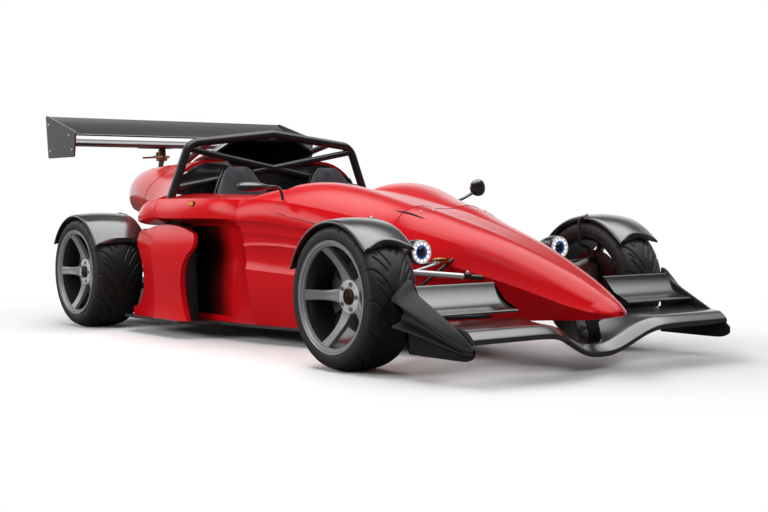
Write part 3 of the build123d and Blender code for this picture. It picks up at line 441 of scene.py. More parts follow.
wheels = {
    "front": {"axle": (1.136, 0.3215), "radius": 0.3215, "half": 0.133, "middle": 0.765, "rimHalf": 0.126,
              "face": 0.025, "back": -0.01},
    "rear": {"axle": (-1.506, 0.325), "radius": 0.325, "half": 0.1555, "middle": 0.731, "rimHalf": 0.1495,
             "face": 0.085, "back": 0.045},
}
rubber = {"rimRadius": 0.2468, "square": 3.3, "turns": 640, "across": 46, "shoulder": 14, "pitch": 14,
          "depth": 0.0055, "groove": 0.0075, "sweep": 0.55, "curve": 1.7, "soft": 0.0022, "fade": 0.03,
          # share of the pitch, from and to across the tread, share of the groove's width
          "cuts": ((0.0, 0.1, 1.12, 1.0), (0.5, 0.3, 0.78, 0.9), (0.27, 0.52, 0.8, 0.6)),
          # height, place up the wall and width
          "ribs": ((0.0022, 0.16, 0.05), (0.0012, 0.62, 0.035), (0.001, 0.74, 0.03)),
          "edge": 0.8, "narrow": 0.055, "inset": 0.003, "beadInset": 0.0113, "beadGap": 0.0003,
          "cutSpan": 0.9, "cutEnd": 0.97, "offTread": (9, 9)}
alloy = {"lip": 0.2465, "bead": 0.229, "spokes": 5, "hub": 0.074, "nutCircle": 0.056,
         # share of the half width, way along the axle from there, way out from the lip
         "outer": ((1, -0.011, -0.0175), (1, -0.011, -0.001), (1, -0.009, 0), (1, -0.001, 0), (1, 0, -0.001),
                   (1, 0, -0.0035), (1, -0.003, -0.0055), (1, -0.003, -0.0145), (1, -0.006, -0.0165),
                   (1, -0.01, -0.0175), (1, -0.011, -0.0235), (1, -0.022, -0.0265)),
         "inner": ((0, 0, -0.0315), (-1, 0.02, -0.0295), (-1, 0, -0.009), (-1, 0, 0), (-1, 0.011, 0),
                   (-1, 0.011, -0.0175), (-1, 0.03, -0.0185), (0, 0, -0.0235), (1, -0.03, -0.0185)),
         # way out from the wheel's face, radius
         "nut": ((-0.004, 0), (-0.004, 0.0105), (0.006, 0.0105), (0.008, 0.009), (0.008, 0.006), (0.003, 0.005),
                 (0.003, 0)),
         "boss": ((-0.006, 0.076), (-0.001, 0.073), (0, 0.07), (0.0005, 0.042), (-0.003, 0.039), (-0.003, 0)),
         "cap": ((-0.004, 0), (-0.004, 0.036), (0.006, 0.035), (0.009, 0.03), (0.009, 0.026), (0.007, 0.024),
                 (0.0095, 0.006), (0.01, 0))}
spoke = {"from": 0.046, "short": 0.023, "sunk": 0.002, "step": 0.013, "bend": 2.1, "rows": 22,
         # half width at the waist, what root and tip add and how fast that fades
         "waist": 0.0205, "root": (0.022, 3.2), "tip": (0.005, 4.5), "deep": (0.03, 0.006),
         # across share, depth share
         "section": ((-1, -1), (-1, -0.22), (-0.93, -0.08), (-0.72, 0), (-0.4, -0.05), (0.4, -0.05), (0.72, 0),
                     (0.93, -0.08), (1, -0.22), (1, -1))}


def treadCuts(turn, cross, radius, half):
    # depth of the tread: long grooves sweep from each shoulder to the middle, short ones lie between them
    share = np.abs(cross)
    side = np.where(cross < 0, 0.5, 0.0)
    curve, fade = rubber["curve"], rubber["fade"]
    slope = radius * rubber["sweep"] * curve * (1 - np.minimum(share, 0.999)) ** (curve - 1) / half
    sweep = rubber["sweep"] * np.abs(1 - share) ** curve
    step = 2 * math.pi / rubber["pitch"]

    def groove(offset, low, high, wide):
        away = ((turn + sweep) / step + side + offset + 0.5) % 1.0 - 0.5
        gap = np.abs(away) * step * radius / np.sqrt(1 + slope ** 2)
        cut = np.clip((wide * rubber["groove"] / 2 - gap) / rubber["soft"] + 0.5, 0, 1)
        return cut * (np.clip((share - low) / fade, 0, 1) * np.clip((high - share) / fade, 0, 1))

    return np.maximum.reduce([groove(*row) for row in rubber["cuts"]])


def tyrePatch(spec):
    # a rounded box section turned round the axle, its tread sunk by treadCuts and its walls ribbed
    half, base = spec["half"], rubber["rimRadius"]
    square, edge, span = rubber["square"], rubber["edge"], rubber["cutSpan"]
    tread = np.linspace(-edge, edge, rubber["across"])
    corner = np.linspace(math.acos(edge ** (square / 2)), 0, rubber["shoulder"])[1:]
    outer = np.cos(corner) ** (2 / square)
    cross = np.concatenate([-outer[::-1], tread, outer])
    rise = (1 - np.minimum(np.abs(cross), 1) ** square) ** (1 / square)
    rib = sum(tall * np.exp(-((rise - place) / wide) ** 2) for tall, place, wide in rubber["ribs"])
    narrow = 1 - rubber["narrow"] * (1 - rise) ** 2
    place = np.sign(cross) * (np.abs(cross) * half * narrow + rib * (np.abs(cross) > edge) - rubber["inset"])
    bead, foot = spec["rimHalf"] - rubber["beadInset"], alloy["bead"] + rubber["beadGap"]
    place = np.concatenate([[-bead, -bead], place, [bead, bead]])
    reach = np.concatenate([[foot, base], base + (spec["radius"] - base) * rise, [base, foot]])
    level = np.concatenate([rubber["offTread"], cross, rubber["offTread"]])
    turn = fullTurn(rubber["turns"])[:, None]
    depth = treadCuts(turn, np.clip(level / span, -1.3, 1.3)[None], spec["radius"], half * span)
    radius = reach - depth * (np.abs(level) < rubber["cutEnd"]) * rubber["depth"]
    x = spec["axle"][0] + radius * np.cos(turn)
    z = spec["axle"][1] + radius * np.sin(turn)
    return patch(gridPoints(x, spec["middle"] + place, z), rowsMeet=True, columnsMeet=True)


def rimPatches(spec):
    # barrel and lip turned round the axle; each spoke is a bevelled bar carried outward on a hollow curve
    centre = np.array([spec["axle"][0], spec["middle"], spec["axle"][1]])
    half, face, back, lip = spec["rimHalf"], spec["face"], spec["back"], alloy["lip"]
    outer, inner = ([(side * half + along, lip + out) for side, along, out in alloy[key]]
                    for key in ("outer", "inner"))
    nut, boss, cap = ([(face + out, radius) for out, radius in alloy[key]] for key in ("nut", "boss", "cap"))
    patches = [lathe(outer, centre, acrossCar, 120, 0),
               lathe([outer[-1], *inner, outer[0]], centre, acrossCar, 120, 2)]
    share = np.linspace(0, 1, spoke["rows"])[:, None]
    radius = spoke["from"] + share * (lip - spoke["short"] - spoke["from"])
    rise = face - spoke["sunk"] + (half - spoke["step"] - face) * share ** spoke["bend"]
    (root, rootFade), (tip, tipFade) = spoke["root"], spoke["tip"]
    wide = spoke["waist"] + root * (1 - share) ** rootFade + tip * share ** tipFade
    deep = spoke["deep"][0] - spoke["deep"][1] * share
    across, down = np.array(spoke["section"]).T[:, None]
    for turn in 2 * math.pi * (np.arange(alloy["spokes"]) + 0.5) / alloy["spokes"]:
        way = np.array([math.cos(turn), 0, math.sin(turn)])
        side = np.array([-math.sin(turn), 0, math.cos(turn)])
        grid = centre + radius[..., None] * way + (across * wide)[..., None] * side
        grid = grid + (rise + down * deep)[..., None] * np.array(acrossCar)
        nutTurn = turn + math.pi / alloy["spokes"]
        nutPlace = centre + alloy["nutCircle"] * np.array([math.cos(nutTurn), 0, math.sin(nutTurn)])
        patches += [capped(grid), lathe(nut, nutPlace, acrossCar, 6)]
    boss = [(back, 0), (back, alloy["hub"]), *boss]
    return patches + [lathe(boss, centre, acrossCar, 60, 1), lathe(cap, centre, acrossCar, 40, 3)]


wheelFinishes = [finishes["gunmetal_alloy"], extras["brightAlloy"], extras["barrelBlack"], extras["darkBronze"]]
for end, spec in wheels.items():
    tread, rim = [tyrePatch(spec)], rimPatches(spec)
    for side in ("left", "right"):
        where = f"{end}_{side}"
        flip = mirrored if side == "right" else list
        makePiece(f"treadTyre_{where}", flip(tread), [finishes["tyre_rubber"]], f"wheel_{where}",
                  [f"tyre_{where}"], 32)
        makePiece(f"spokeRim_{where}", flip(rim), wheelFinishes, f"wheel_{where}",
                  [f"rim_{where}"], 32)
print("wheels made")


# Headlamps: a pale bezel, a ring of lit elements, a blue ring and a dark lens

headlamp = {"face": (1.186, 0.428, 0.506), "leds": 12, "ledCircle": 0.0395, "ledAhead": 0.0035,
            "ledHalf": (0.0035, 0.0062, 0.0062), "lens": (0.003, 0.023, 0.007),
            # way ahead of the face, radius
            "bezel": ((0.0005, 0.047), (0.0005, 0.053), (0.007, 0.053), (0.0095, 0.051), (0.0095, 0.0495),
                      (0.006, 0.0475)),
            "plate": ((0.0008, 0), (0.0008, 0.049), (0.003, 0.049), (0.003, 0)),
            "pale": ((0.0025, 0.0315), (0.0025, 0.048), (0.0042, 0.048), (0.0042, 0.0315)),
            "blueRing": ((0.003, 0.025), (0.003, 0.032), (0.0055, 0.0305), (0.0055, 0.0265))}


def headlampPatches():
    # profiles turned about the lamp's axis, a quarter round for the lens, and lit pebbles on a circle
    centre, circle = np.array(headlamp["face"]), headlamp["ledCircle"]
    base, lens, bulge = headlamp["lens"]
    angle = np.linspace(0, math.pi / 2, 9)
    dome = [(base, 0), (base, lens), *zip(base + bulge * np.sin(angle), lens * np.cos(angle))]
    patches = [lathe(headlamp["bezel"], centre, alongCar, 48, 0, True),
               lathe(headlamp["plate"], centre, alongCar, 48, 3),
               lathe(headlamp["pale"], centre, alongCar, 48, 0, True),
               lathe(headlamp["blueRing"], centre, alongCar, 40, 2, True), lathe(dome, centre, alongCar, 40, 3)]
    for turn in fullTurn(headlamp["leds"]):
        spot = centre + [headlamp["ledAhead"], circle * math.cos(turn), circle * math.sin(turn)]
        patches.append(pebble(spot, headlamp["ledHalf"], 0.8, 1, 8))
    return patches


makePiece("headlampFaces", bothSides(headlampPatches()),
          [finishes["lamp_glass"], extras["whiteLed"], extras["blueGlow"], extras["darkLens"]], "chassis",
          ["headlamp_lenses"])
print("headlamps made")


# Cycle fenders: a crowned blade with rolled edges and a hollow front cut, on a bent stay

fenders = {
    "front": {"arch": (44, 160), "lap": 0.002, "dip": 9, "body": "knuckle_{}", "stay": (0.6857, 0.456)},
    "rear": {"arch": (33, 151), "lap": 0.026, "dip": 7, "body": "chassis", "stay": (0.7067, 0.4595)},
}
blade = {"rise": 0.0195, "stay": 0.008, "edge": 0.002, "dipCurve": 2.4, "dipLevel": 0.35, "flick": 0.006,
         "flickEnd": 0.1, "boltSize": (0.007, 0.006),
         # across share, height of the outer skin and then of the inner one
         "section": ((-1.0, -0.021), (-0.99, -0.008), (-0.82, -0.003), (-0.4, 0.0035), (0.0, 0.005), (0.4, 0.0035),
                     (0.82, -0.003), (0.99, -0.008), (1.0, -0.021), (0.965, -0.0225), (0.8, -0.0105), (0.4, -0.0035),
                     (0.0, -0.002), (-0.4, -0.0035), (-0.8, -0.0105), (-0.965, -0.0225))}


def fenderPatches(end):
    # radius from the blade's section, turn from the arch; the front end hangs lower at its corners
    spec, wheel = fenders[end], wheels[end]
    across, height = np.array(blade["section"]).T
    inner = wheel["middle"] - wheel["half"] - spec["lap"]
    outer = wheel["middle"] + wheel["half"] - blade["edge"]
    y = (inner + outer) / 2 + across * (outer - inner) / 2
    front = spec["arch"][0] - spec["dip"] * (np.abs(across) ** blade["dipCurve"] - blade["dipLevel"])
    share = np.linspace(0, 1, 14)[:, None]
    turn = np.radians(front[None] * (1 - share) + spec["arch"][1] * share)
    flick = blade["flick"] * np.clip(1 - share / blade["flickEnd"], 0, 1)
    radius = wheel["radius"] + blade["rise"] + height[None] + flick
    net = gridPoints(wheel["axle"][0] + radius * np.cos(turn), y, wheel["axle"][1] + radius * np.sin(turn))
    pinY, top = spec["stay"]
    x, crown = wheel["axle"][0], 2 * wheel["radius"] + blade["rise"] - 0.01
    route = [(x, pinY, top), (x, pinY, top + 0.03), (x, pinY, top + 0.045), (x, inner - 0.014, top + 0.058),
             (x, inner - 0.014, top + 0.075), (x, inner - 0.014, crown - 0.03), (x, inner - 0.013, crown - 0.004),
             (x, inner + 0.015, crown), (x, inner + 0.05, crown + 0.003)]
    stay = tube(smoothPath(route, 60), blade["stay"], 12, 1)
    bolt = button((x, inner + 0.035, crown + 0.0115), (0, 0.12, 1), *blade["boltSize"], 2)
    return [splineLoft(net, 90, 64), stay, bolt]


for end in fenders:
    shape = fenderPatches(end)
    for side in ("left", "right"):
        makePiece(f"cycleFender_{end}_{side}", shape if side == "left" else mirrored(shape),
                  [finishes["black_composite"], finishes["black_steel"], extras["brightAlloy"]],
                  fenders[end]["body"].format(side), [f"fender_{end}_{side}"], 40)
print("fenders made")


# Front wing endplates: a thick upper band over a hollow, a lower band and a plain skirt

endplate = {
    "inner": 0.7624, "skin": 0.0105, "ahead": 1.136,
    # ahead of the axle, top, band's crease, lower band, bottom, flare
    "stations": ((0.398, 0.412, 0.318, 0.222, 0.104, 0.09), (0.408, 0.414, 0.315, 0.221, 0.104, 0.091),
                 (0.424, 0.392, 0.311, 0.219, 0.104, 0.09), (0.44, 0.358, 0.304, 0.216, 0.104, 0.087),
                 (0.5, 0.33, 0.274, 0.205, 0.104, 0.075), (0.58, 0.29, 0.236, 0.186, 0.104, 0.058),
                 (0.66, 0.25, 0.196, 0.164, 0.104, 0.041), (0.72, 0.218, 0.168, 0.149, 0.104, 0.027),
                 (0.765, 0.188, 0.15, 0.139, 0.106, 0.014), (0.795, 0.166, 0.147, 0.137, 0.118, 0.004),
                 (0.803, 0.158, 0.146, 0.138, 0.128, 0.001)),
}


def endplatePatch():
    # control rings through skirt, lower band, hollow, upper band and back down the flat inner face
    rings = []
    for ahead, top, crease, low, bottom, flare in endplate["stations"]:
        inner, outer = endplate["inner"], endplate["inner"] + endplate["skin"]
        band = max(crease - low, 0.004)
        ring = [(inner, bottom), (outer - 0.002, bottom), (outer, bottom + 0.006), (outer, low - 0.03),
                (outer + 0.25 * flare, low - 0.014), (outer + 0.92 * flare, low - 0.008), (outer + flare, low),
                (outer + 0.92 * flare, low + 0.1 * band), (outer + 0.48 * flare, low + 0.2 * band),
                (outer + 0.34 * flare, low + 0.5 * band), (outer + 0.34 * flare, crease - 0.16 * band),
                (outer + 0.8 * flare, crease - 0.02 * band), (outer + flare, crease + 0.08 * band),
                (outer + 0.96 * flare, crease + 0.25 * (top - crease)),
                (outer + 0.66 * flare, crease + 0.55 * (top - crease)), (outer + 0.2 * flare, top - 0.006),
                (outer, top), (inner + 0.001, top), (inner, top - 0.008), (inner, (top + bottom) / 2),
                (inner, bottom + 0.006)]
        rings.append([(endplate["ahead"] + ahead, y, max(z, bottom)) for y, z in ring])
    return splineLoft(rings, 70, 110)


makePiece("sculptedEndplates", bothSides([endplatePatch()]), [extras["satinBlack"]], "chassis",
          ["front_wing_endplates"], 50)
print("front endplates made")


# Front wing: a spoon plane with a rolled lip, and hollow flaps that run from the endplates towards the nose

frontWing = {
    "ahead": 1.136,
    # across, leading edge ahead of the axle and its height, trailing edge and its height
    "spoon": ((0.0, 0.752, 0.086, 0.54, 0.148), (0.07, 0.753, 0.09, 0.541, 0.15),
              (0.14, 0.763, 0.116, 0.545, 0.176), (0.22, 0.78, 0.16, 0.55, 0.218),
              (0.3, 0.79, 0.188, 0.554, 0.242), (0.4, 0.793, 0.191, 0.557, 0.246),
              (0.58, 0.792, 0.19, 0.557, 0.246), (0.755, 0.792, 0.19, 0.557, 0.246),
              (0.762, 0.792, 0.19, 0.557, 0.246)),
    # share of the chord, height over the chord
    "planeSection": ((-0.012, -0.006), (-0.006, 0.002), (0.02, 0.008), (0.08, 0.018), (0.15, 0.026), (0.22, 0.027),
                     (0.5, 0.013), (0.9, 0.003), (1.0, 0.002), (1.0, -0.002), (0.8, -0.006), (0.5, -0.014),
                     (0.2, -0.023), (0.06, -0.024), (0.0, -0.017)),
    # ahead of the axle and height, over the top from the leading edge and back underneath
    "flapSection": ((0.588, 0.273), (0.584, 0.281), (0.56, 0.283), (0.522, 0.291), (0.486, 0.311), (0.456, 0.343),
                    (0.438, 0.372), (0.431, 0.388), (0.426, 0.387), (0.431, 0.366), (0.45, 0.332), (0.48, 0.299),
                    (0.52, 0.278), (0.56, 0.268), (0.584, 0.267)),
    "flapAcross": (0.334, 0.34, 0.45, 0.62, 0.752, 0.7622),
}


def wingPatches():
    # one section carried across the car; the plane's dips into a spoon under the nose
    section = np.array(frontWing["planeSection"])
    rows = [(-y, *rest) for y, *rest in frontWing["spoon"][:0:-1]] + list(frontWing["spoon"])
    rings = []
    for y, leadX, leadZ, trailX, trailZ in rows:
        x = frontWing["ahead"] + leadX + section[:, 0] * (trailX - leadX)
        z = leadZ + section[:, 0] * (trailZ - leadZ) + section[:, 1]
        rings.append(gridPoints(x, y, z))
    x, z = np.array(frontWing["flapSection"]).T
    flap = [gridPoints(frontWing["ahead"] + x, y, z) for y in frontWing["flapAcross"]]
    return [splineLoft(rings, 130, 56)], [splineLoft(flap, 30, 60)]


planePatch, flapPatch = wingPatches()
makePiece("spoonPlane", planePatch, [finishes["black_composite"]], "chassis",
          ["front_wing_plane"], 50)
makePiece("hollowFlaps", bothSides(flapPatch), [finishes["black_composite"]], "chassis",
          ["front_wing_flaps"], 50)
print("front wing made")


# Nose tip: the end of the nose rounded off

noseTip = {
    # share of the half width, share of the height, up one side
    "ring": ((0.65, 0.0), (1.03, 0.32), (0.98, 0.46), (0.78, 0.7), (0.48, 0.94), (0.16, 1.02)),
    # place along the car, half width, top and bottom
    "stations": ((1.88, 0.098, 0.343, 0.236), (1.905, 0.092, 0.332, 0.235), (1.93, 0.085, 0.3195, 0.235),
                 (1.952, 0.073, 0.3045, 0.238), (1.97, 0.057, 0.2905, 0.244), (1.982, 0.039, 0.278, 0.25),
                 (1.988, 0.018, 0.268, 0.256)),
}


def noseTipPatch():
    # the nose's own section drawn in along a quarter round
    half = np.array(noseTip["ring"])
    ring = np.concatenate([half, half[::-1] * [-1, 1]])
    net = [[(x, y * wide, low + z * (top - low)) for y, z in ring] for x, wide, top, low in noseTip["stations"]]
    return splineLoft(net, 36, 64)


makePiece("noseTip", [noseTipPatch()], [finishes["red_paint"]], "chassis", (), 60)
print("nose tip made")


# Mirrors: a head on a bent stalk, slim on the right and upright on the left, with glass on its flat back

mirror = {
    "middle": (0.24, 0.806), "back": -0.016, "backFrom": 0.02, "bulge": 1.15,
    # across, half depth, half height
    "heads": {"right": ((0.622, 0.008, 0.008), (0.64, 0.014, 0.012), (0.68, 0.027, 0.021), (0.73, 0.033, 0.026),
                        (0.78, 0.029, 0.024), (0.806, 0.018, 0.016), (0.812, 0.006, 0.006)),
              "left": ((0.676, 0.006, 0.01), (0.682, 0.012, 0.027), (0.698, 0.018, 0.043), (0.728, 0.022, 0.05),
                       (0.758, 0.019, 0.046), (0.774, 0.012, 0.03), (0.779, 0.005, 0.01))},
    "stalks": {"right": ((0.205, 0.515, 0.69), (0.206, 0.528, 0.735), (0.208, 0.533, 0.775), (0.215, 0.55, 0.8),
                         (0.228, 0.59, 0.81), (0.238, 0.69, 0.806)),
               "left": ((0.205, 0.515, 0.69), (0.215, 0.532, 0.715), (0.24, 0.562, 0.731), (0.256, 0.602, 0.742),
                        (0.249, 0.645, 0.76), (0.24, 0.7, 0.78))},
    "stalkRadius": 0.008, "glassAt": (0.2226, 0.73, 0.806),
    "glass": {"right": (0.0022, 0.066, 0.0185), "left": (0.0022, 0.04, 0.034)},
    "foot": ((-0.003, 0), (-0.003, 0.017), (0.003, 0.017), (0.006, 0.012), (0.006, 0)),
    "footAt": (0.2055, 0.522, 0.706), "footFaces": (0.15, 0.55, 0.6),
}


def mirrorPatches(side):
    # rings across the head, flat behind and round in front, on a bent tube with a turned foot
    turn = fullTurn(14)
    middleX, middleZ = mirror["middle"]
    rings = []
    for y, deep, tall in mirror["heads"][side]:
        x = np.maximum(deep * mirror["bulge"] * np.cos(turn), mirror["back"] * min(1, deep / mirror["backFrom"]))
        rings.append(gridPoints(middleX + x, y, middleZ + tall * np.sin(turn)))
    return [splineLoft(rings, 40, 44), tube(smoothPath(mirror["stalks"][side], 40), mirror["stalkRadius"], 12),
            lathe(mirror["foot"], mirror["footAt"], mirror["footFaces"], 24),
            pebble(mirror["glassAt"], mirror["glass"][side], 0.7, 1)]


makePiece("slimMirrors", mirrorPatches("left") + mirrored(mirrorPatches("right")),
          [finishes["black_composite"], extras["mirrorGlass"]], "chassis", ["mirrors"], 45)
print("mirrors made")


# Headlamp bullets and the front suspension's bright pieces

bullet = {
    # way ahead of the lamp's face, radius
    "profile": ((0.0002, 0.0), (0.0002, 0.044), (0.0002, 0.053), (-0.003, 0.0562), (-0.03, 0.0575),
                (-0.07, 0.054), (-0.105, 0.042), (-0.132, 0.026), (-0.147, 0.011), (-0.15, 0.0)),
    "arm": ((1.15, 0.42, 0.462), (1.142, 0.392, 0.45), (1.13, 0.33, 0.448), (1.115, 0.25, 0.455)),
    "armRadius": 0.009,
}
frontArm = {"pin": (1.136, 0.6857, 0.4385), "inner": (1.396, 0.18, 0.388), "from": 0.1, "to": 0.755,
            "radius": 0.0128, "rocker": (1.226, 0.352, 0.466), "linkAt": 0.34}


def lampBodyPatches():
    # a smoothed bullet profile turned about the lamp's axis, on a bent arm
    return [lathe(smoothPath(bullet["profile"], 40), headlamp["face"], alongCar, 56),
            tube(smoothPath(bullet["arm"], 24), bullet["armRadius"], 12)]


def frontArmPatches():
    # a bright sleeve on the upper arm's front leg, a clevis at its end and a gold rocker with its link
    pin, inner = np.array(frontArm["pin"]), np.array(frontArm["inner"])
    start, end = (pin + (inner - pin) * frontArm[key] for key in ("from", "to"))
    rocker = np.array(frontArm["rocker"])
    link = pin + (inner - pin) * frontArm["linkAt"]
    patches = [tube(line(start, end, 6), frontArm["radius"], 16, 0),
               tube(line(link, rocker + [0.0, 0.012, -0.01], 6), 0.006, 10, 0),
               pebble(end + [0.01, -0.012, 0.002], (0.016, 0.018, 0.013), 0.5, 2),
               button(end + [0.012, -0.012, 0.018], upCar, 0.008, 0.007, 0)]
    for shift in (-0.012, 0.012):
        patches.append(pebble(rocker + [shift, -0.004, 0.0], (0.004, 0.036, 0.014), 0.7, 1))
    patches += [tube(line(rocker + [-0.022, -0.02, 0.004], rocker + [0.022, -0.02, 0.004], 4), 0.009, 16, 1),
                tube(line(rocker + [-0.02, 0.024, -0.006], rocker + [0.02, 0.024, -0.006], 4), 0.006, 12, 0),
                tube(line(rocker + [0.0, -0.03, -0.006], rocker + [-0.05, -0.1, -0.012], 5), 0.01, 14, 2)]
    return patches


makePiece("lampBullets", bothSides(lampBodyPatches()), [finishes["black_composite"]], "chassis",
          ["headlamp_pods"], 40)
makePiece("frontArmSleeves", bothSides(frontArmPatches()),
          [extras["satinSilver"], finishes["gold_anodised"], finishes["black_steel"]], "chassis", (), 40)
print("lamp bodies and front arms made")


# Seats: a padded bucket blown up as cloth, sewn channels, and a hard shell behind it

seat = {
    "across": 0.3, "pressure": 4.0, "cap": 0.009, "frames": 20,
    "box": ((-0.345, 0.3, 0.15), (0.2, 0.165, 0.048)),
    # place along the car, height, way the pad faces in degrees, half width, side bolster, padding behind
    "stations": ((-0.108, 0.292, 30, 0.18, 0.01, 0.045), (-0.122, 0.322, 75, 0.198, 0.04, 0.055),
                 (-0.215, 0.292, 108, 0.205, 0.058, 0.07), (-0.325, 0.252, 109, 0.207, 0.07, 0.08),
                 (-0.415, 0.232, 75, 0.207, 0.082, 0.09), (-0.448, 0.3, 22, 0.207, 0.092, 0.085),
                 (-0.478, 0.42, 14, 0.209, 0.098, 0.072), (-0.513, 0.56, 14, 0.208, 0.09, 0.062),
                 (-0.546, 0.69, 14, 0.196, 0.06, 0.058), (-0.573, 0.795, 14, 0.156, 0.03, 0.054),
                 (-0.594, 0.885, 14, 0.11, 0.012, 0.05), (-0.606, 0.928, 30, 0.082, 0.004, 0.042),
                 (-0.616, 0.936, 50, 0.05, 0.002, 0.026)),
    # across share, bolster share (in front) or padding share (behind, below zero)
    "section": ((-1.0, 0.25), (-1.0, 0.9), (-0.9, 1.0), (-0.74, 0.75), (-0.55, 0.2), (-0.3, 0.0), (0.0, 0.02),
                (0.3, 0.0), (0.55, 0.2), (0.74, 0.75), (0.9, 1.0), (1.0, 0.9), (1.0, 0.25), (1.0, -0.6),
                (0.85, -1.0), (0.0, -1.0), (-0.85, -1.0), (-1.0, -0.6)),
    "shellSection": ((-1.02, -0.1), (-1.02, -0.5), (-0.9, -0.95), (0.0, -0.95), (0.9, -0.95), (1.02, -0.5),
                     (1.02, -0.1), (1.05, -0.1), (1.06, -0.6), (0.93, -1.16), (0.0, -1.16), (-0.93, -1.16),
                     (-1.06, -0.6), (-1.05, -0.1)),
    "channels": {"back": (0.4, 0.47, 0.54, 0.61, 0.68), "base": (-0.19, -0.26, -0.33), "half": 0.105,
                 "deep": 0.008, "wide": 0.006, "pipe": 0.118, "faces": (0.2, 0.6), "bend": 0.36, "fade": 0.008,
                 "top": 0.72, "topFade": 0.02},
}


def seatNet(section):
    # each station's section: across the seat, and out along the way that the pad faces there
    share, out = np.array(section).T
    rings = []
    for x, z, facing, wide, bolster, padding in seat["stations"]:
        reach = np.where(out > 0, out * bolster, out * padding)
        facing = math.radians(facing)
        rings.append(gridPoints(x + reach * math.cos(facing), seat["across"] + share * wide,
                                z + reach * math.sin(facing)))
    return rings


def takeEvaluated(thing):
    bpy.context.view_layer.update()
    result = bpy.data.meshes.new_from_object(thing.evaluated_get(bpy.context.evaluated_depsgraph_get()))
    thing.modifiers.clear()
    thing.data = result


def blowUp(thing):
    # cloth under inner pressure, with each point's move held to a cap
    start = meshPoints(thing.data)
    cloth = thing.modifiers.new("cloth", "CLOTH")
    cloth.settings.use_pressure = True
    cloth.settings.uniform_pressure_force = seat["pressure"]
    cloth.settings.effector_weights.gravity = 0
    for step in range(1, seat["frames"] + 1):
        scene.frame_set(step)
    takeEvaluated(thing)
    scene.frame_set(1)
    move = meshPoints(thing.data) - start
    size = np.linalg.norm(move, axis=1, keepdims=True)
    move = move * np.minimum(1, seat["cap"] / np.maximum(size, 1e-9))
    thing.data.vertices.foreach_set("co", (start + move).ravel())


def sewChannels(thing):
    # grooves across the middle panel and one up each side of it, sunk along the normals
    mesh, sewn = thing.data, seat["channels"]
    place = meshPoints(mesh)
    normals = np.empty(len(mesh.vertices) * 3)
    mesh.vertex_normals.foreach_get("vector", normals)
    normals = normals.reshape(-1, 3)
    away = np.abs(place[:, 1] - seat["across"])
    front = (normals[:, 0] > sewn["faces"][0]) | (normals[:, 2] > sewn["faces"][1])
    back = place[:, 2] > sewn["bend"]
    depth = np.zeros(len(place))
    for height in sewn["back"]:
        depth = np.maximum(depth, np.exp(-((place[:, 2] - height) / sewn["wide"]) ** 2) * back)
    for along in sewn["base"]:
        depth = np.maximum(depth, np.exp(-((place[:, 0] - along) / sewn["wide"]) ** 2) * ~back)
    depth = depth * np.clip((sewn["half"] - away) / sewn["fade"], 0, 1)
    tall = np.clip((sewn["top"] - place[:, 2]) / sewn["topFade"], 0, 1)
    depth = np.maximum(depth, np.exp(-((away - sewn["pipe"]) / sewn["wide"]) ** 2) * tall)
    mesh.vertices.foreach_set("co", (place - normals * (depth * front * sewn["deep"])[:, None]).ravel())


def finishSeat(thing, side):
    thing.data.polygons.foreach_set("use_smooth", np.ones(len(thing.data.polygons), bool))
    thing.data.materials.clear()
    thing.data.materials.append(finishes["seat_cloth"])
    if side < 0:
        place = meshPoints(thing.data)
        thing.data.vertices.foreach_set("co", (place - [0, 2 * seat["across"], 0]).ravel())
    name = "left" if side > 0 else "right"
    thing.name = thing.data.name = f"paddedSeat_{name}"
    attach(thing, "chassis")
    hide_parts(f"seat_{name}")


pad = makePiece("seatPad", [splineLoft(seatNet(seat["section"]), 90, 100)], [finishes["seat_cloth"]], None)
blowUp(pad)
pad.modifiers.new("soft", "SUBSURF").levels = 1
takeEvaluated(pad)
sewChannels(pad)
other = pad.copy()
other.data = pad.data.copy()
scene.collection.objects.link(other)
finishSeat(pad, 1)
finishSeat(other, -1)
shellShape = [splineLoft(seatNet(seat["shellSection"]), 70, 80), pebble(*seat["box"], 0.3)]
makePiece("seatShells", bothSides(shellShape), [finishes["black_composite"]], "chassis", (), 50)
print("seats made")


# Small body details, laid on the CAD skins

trim = {"seam": 0.0016, "joint": 0.836, "jointReach": 0.305, "cowlSeam": ((0.836, 0.53), (0.151, 0.69)),
        "coverSeam": ((-1.29, 0.7), (-1.282, 0.8), (-1.116, 0.88), (-1.05, 0.945)),
        "slot": ((0.775, 0.262), (0.965, 0.221)), "slotHalf": 0.0075, "slotSunk": 0.004, "slotEnd": 0.15,
        "pins": ((0.914, 0.132), (0.9, 0.2)), "pinSize": (0.008, 0.006),
        "marker": (-0.372, 0.727, 0.723), "markerHalf": (0.026, 0.007, 0.011), "markerRim": (0.03, 0.006, 0.014),
        "duct": ((-0.766, -0.2), (0.13, 0.606)), "ductProud": 0.0012, "ductSunk": 0.003, "ductMiss": 0.5,
        "roof": ((-0.735, 0.6, 0.616), (0.105, 0.052, 0.026)), "outside": 1.2,
        "wingBolts": ((-1.6, 1.045), (-1.915, 1.045), (-1.64, 1.13), (-1.935, 1.205)), "boltAcross": 0.8452,
        "boltSize": (0.008, 0.005)}
inward, downward = (0, -1, 0), (0, 0, -1)


def seam(tree, starts, way):
    # a thin tube along points dropped on the skin
    return tube(laid(tree, starts, way), trim["seam"], 8, 0)


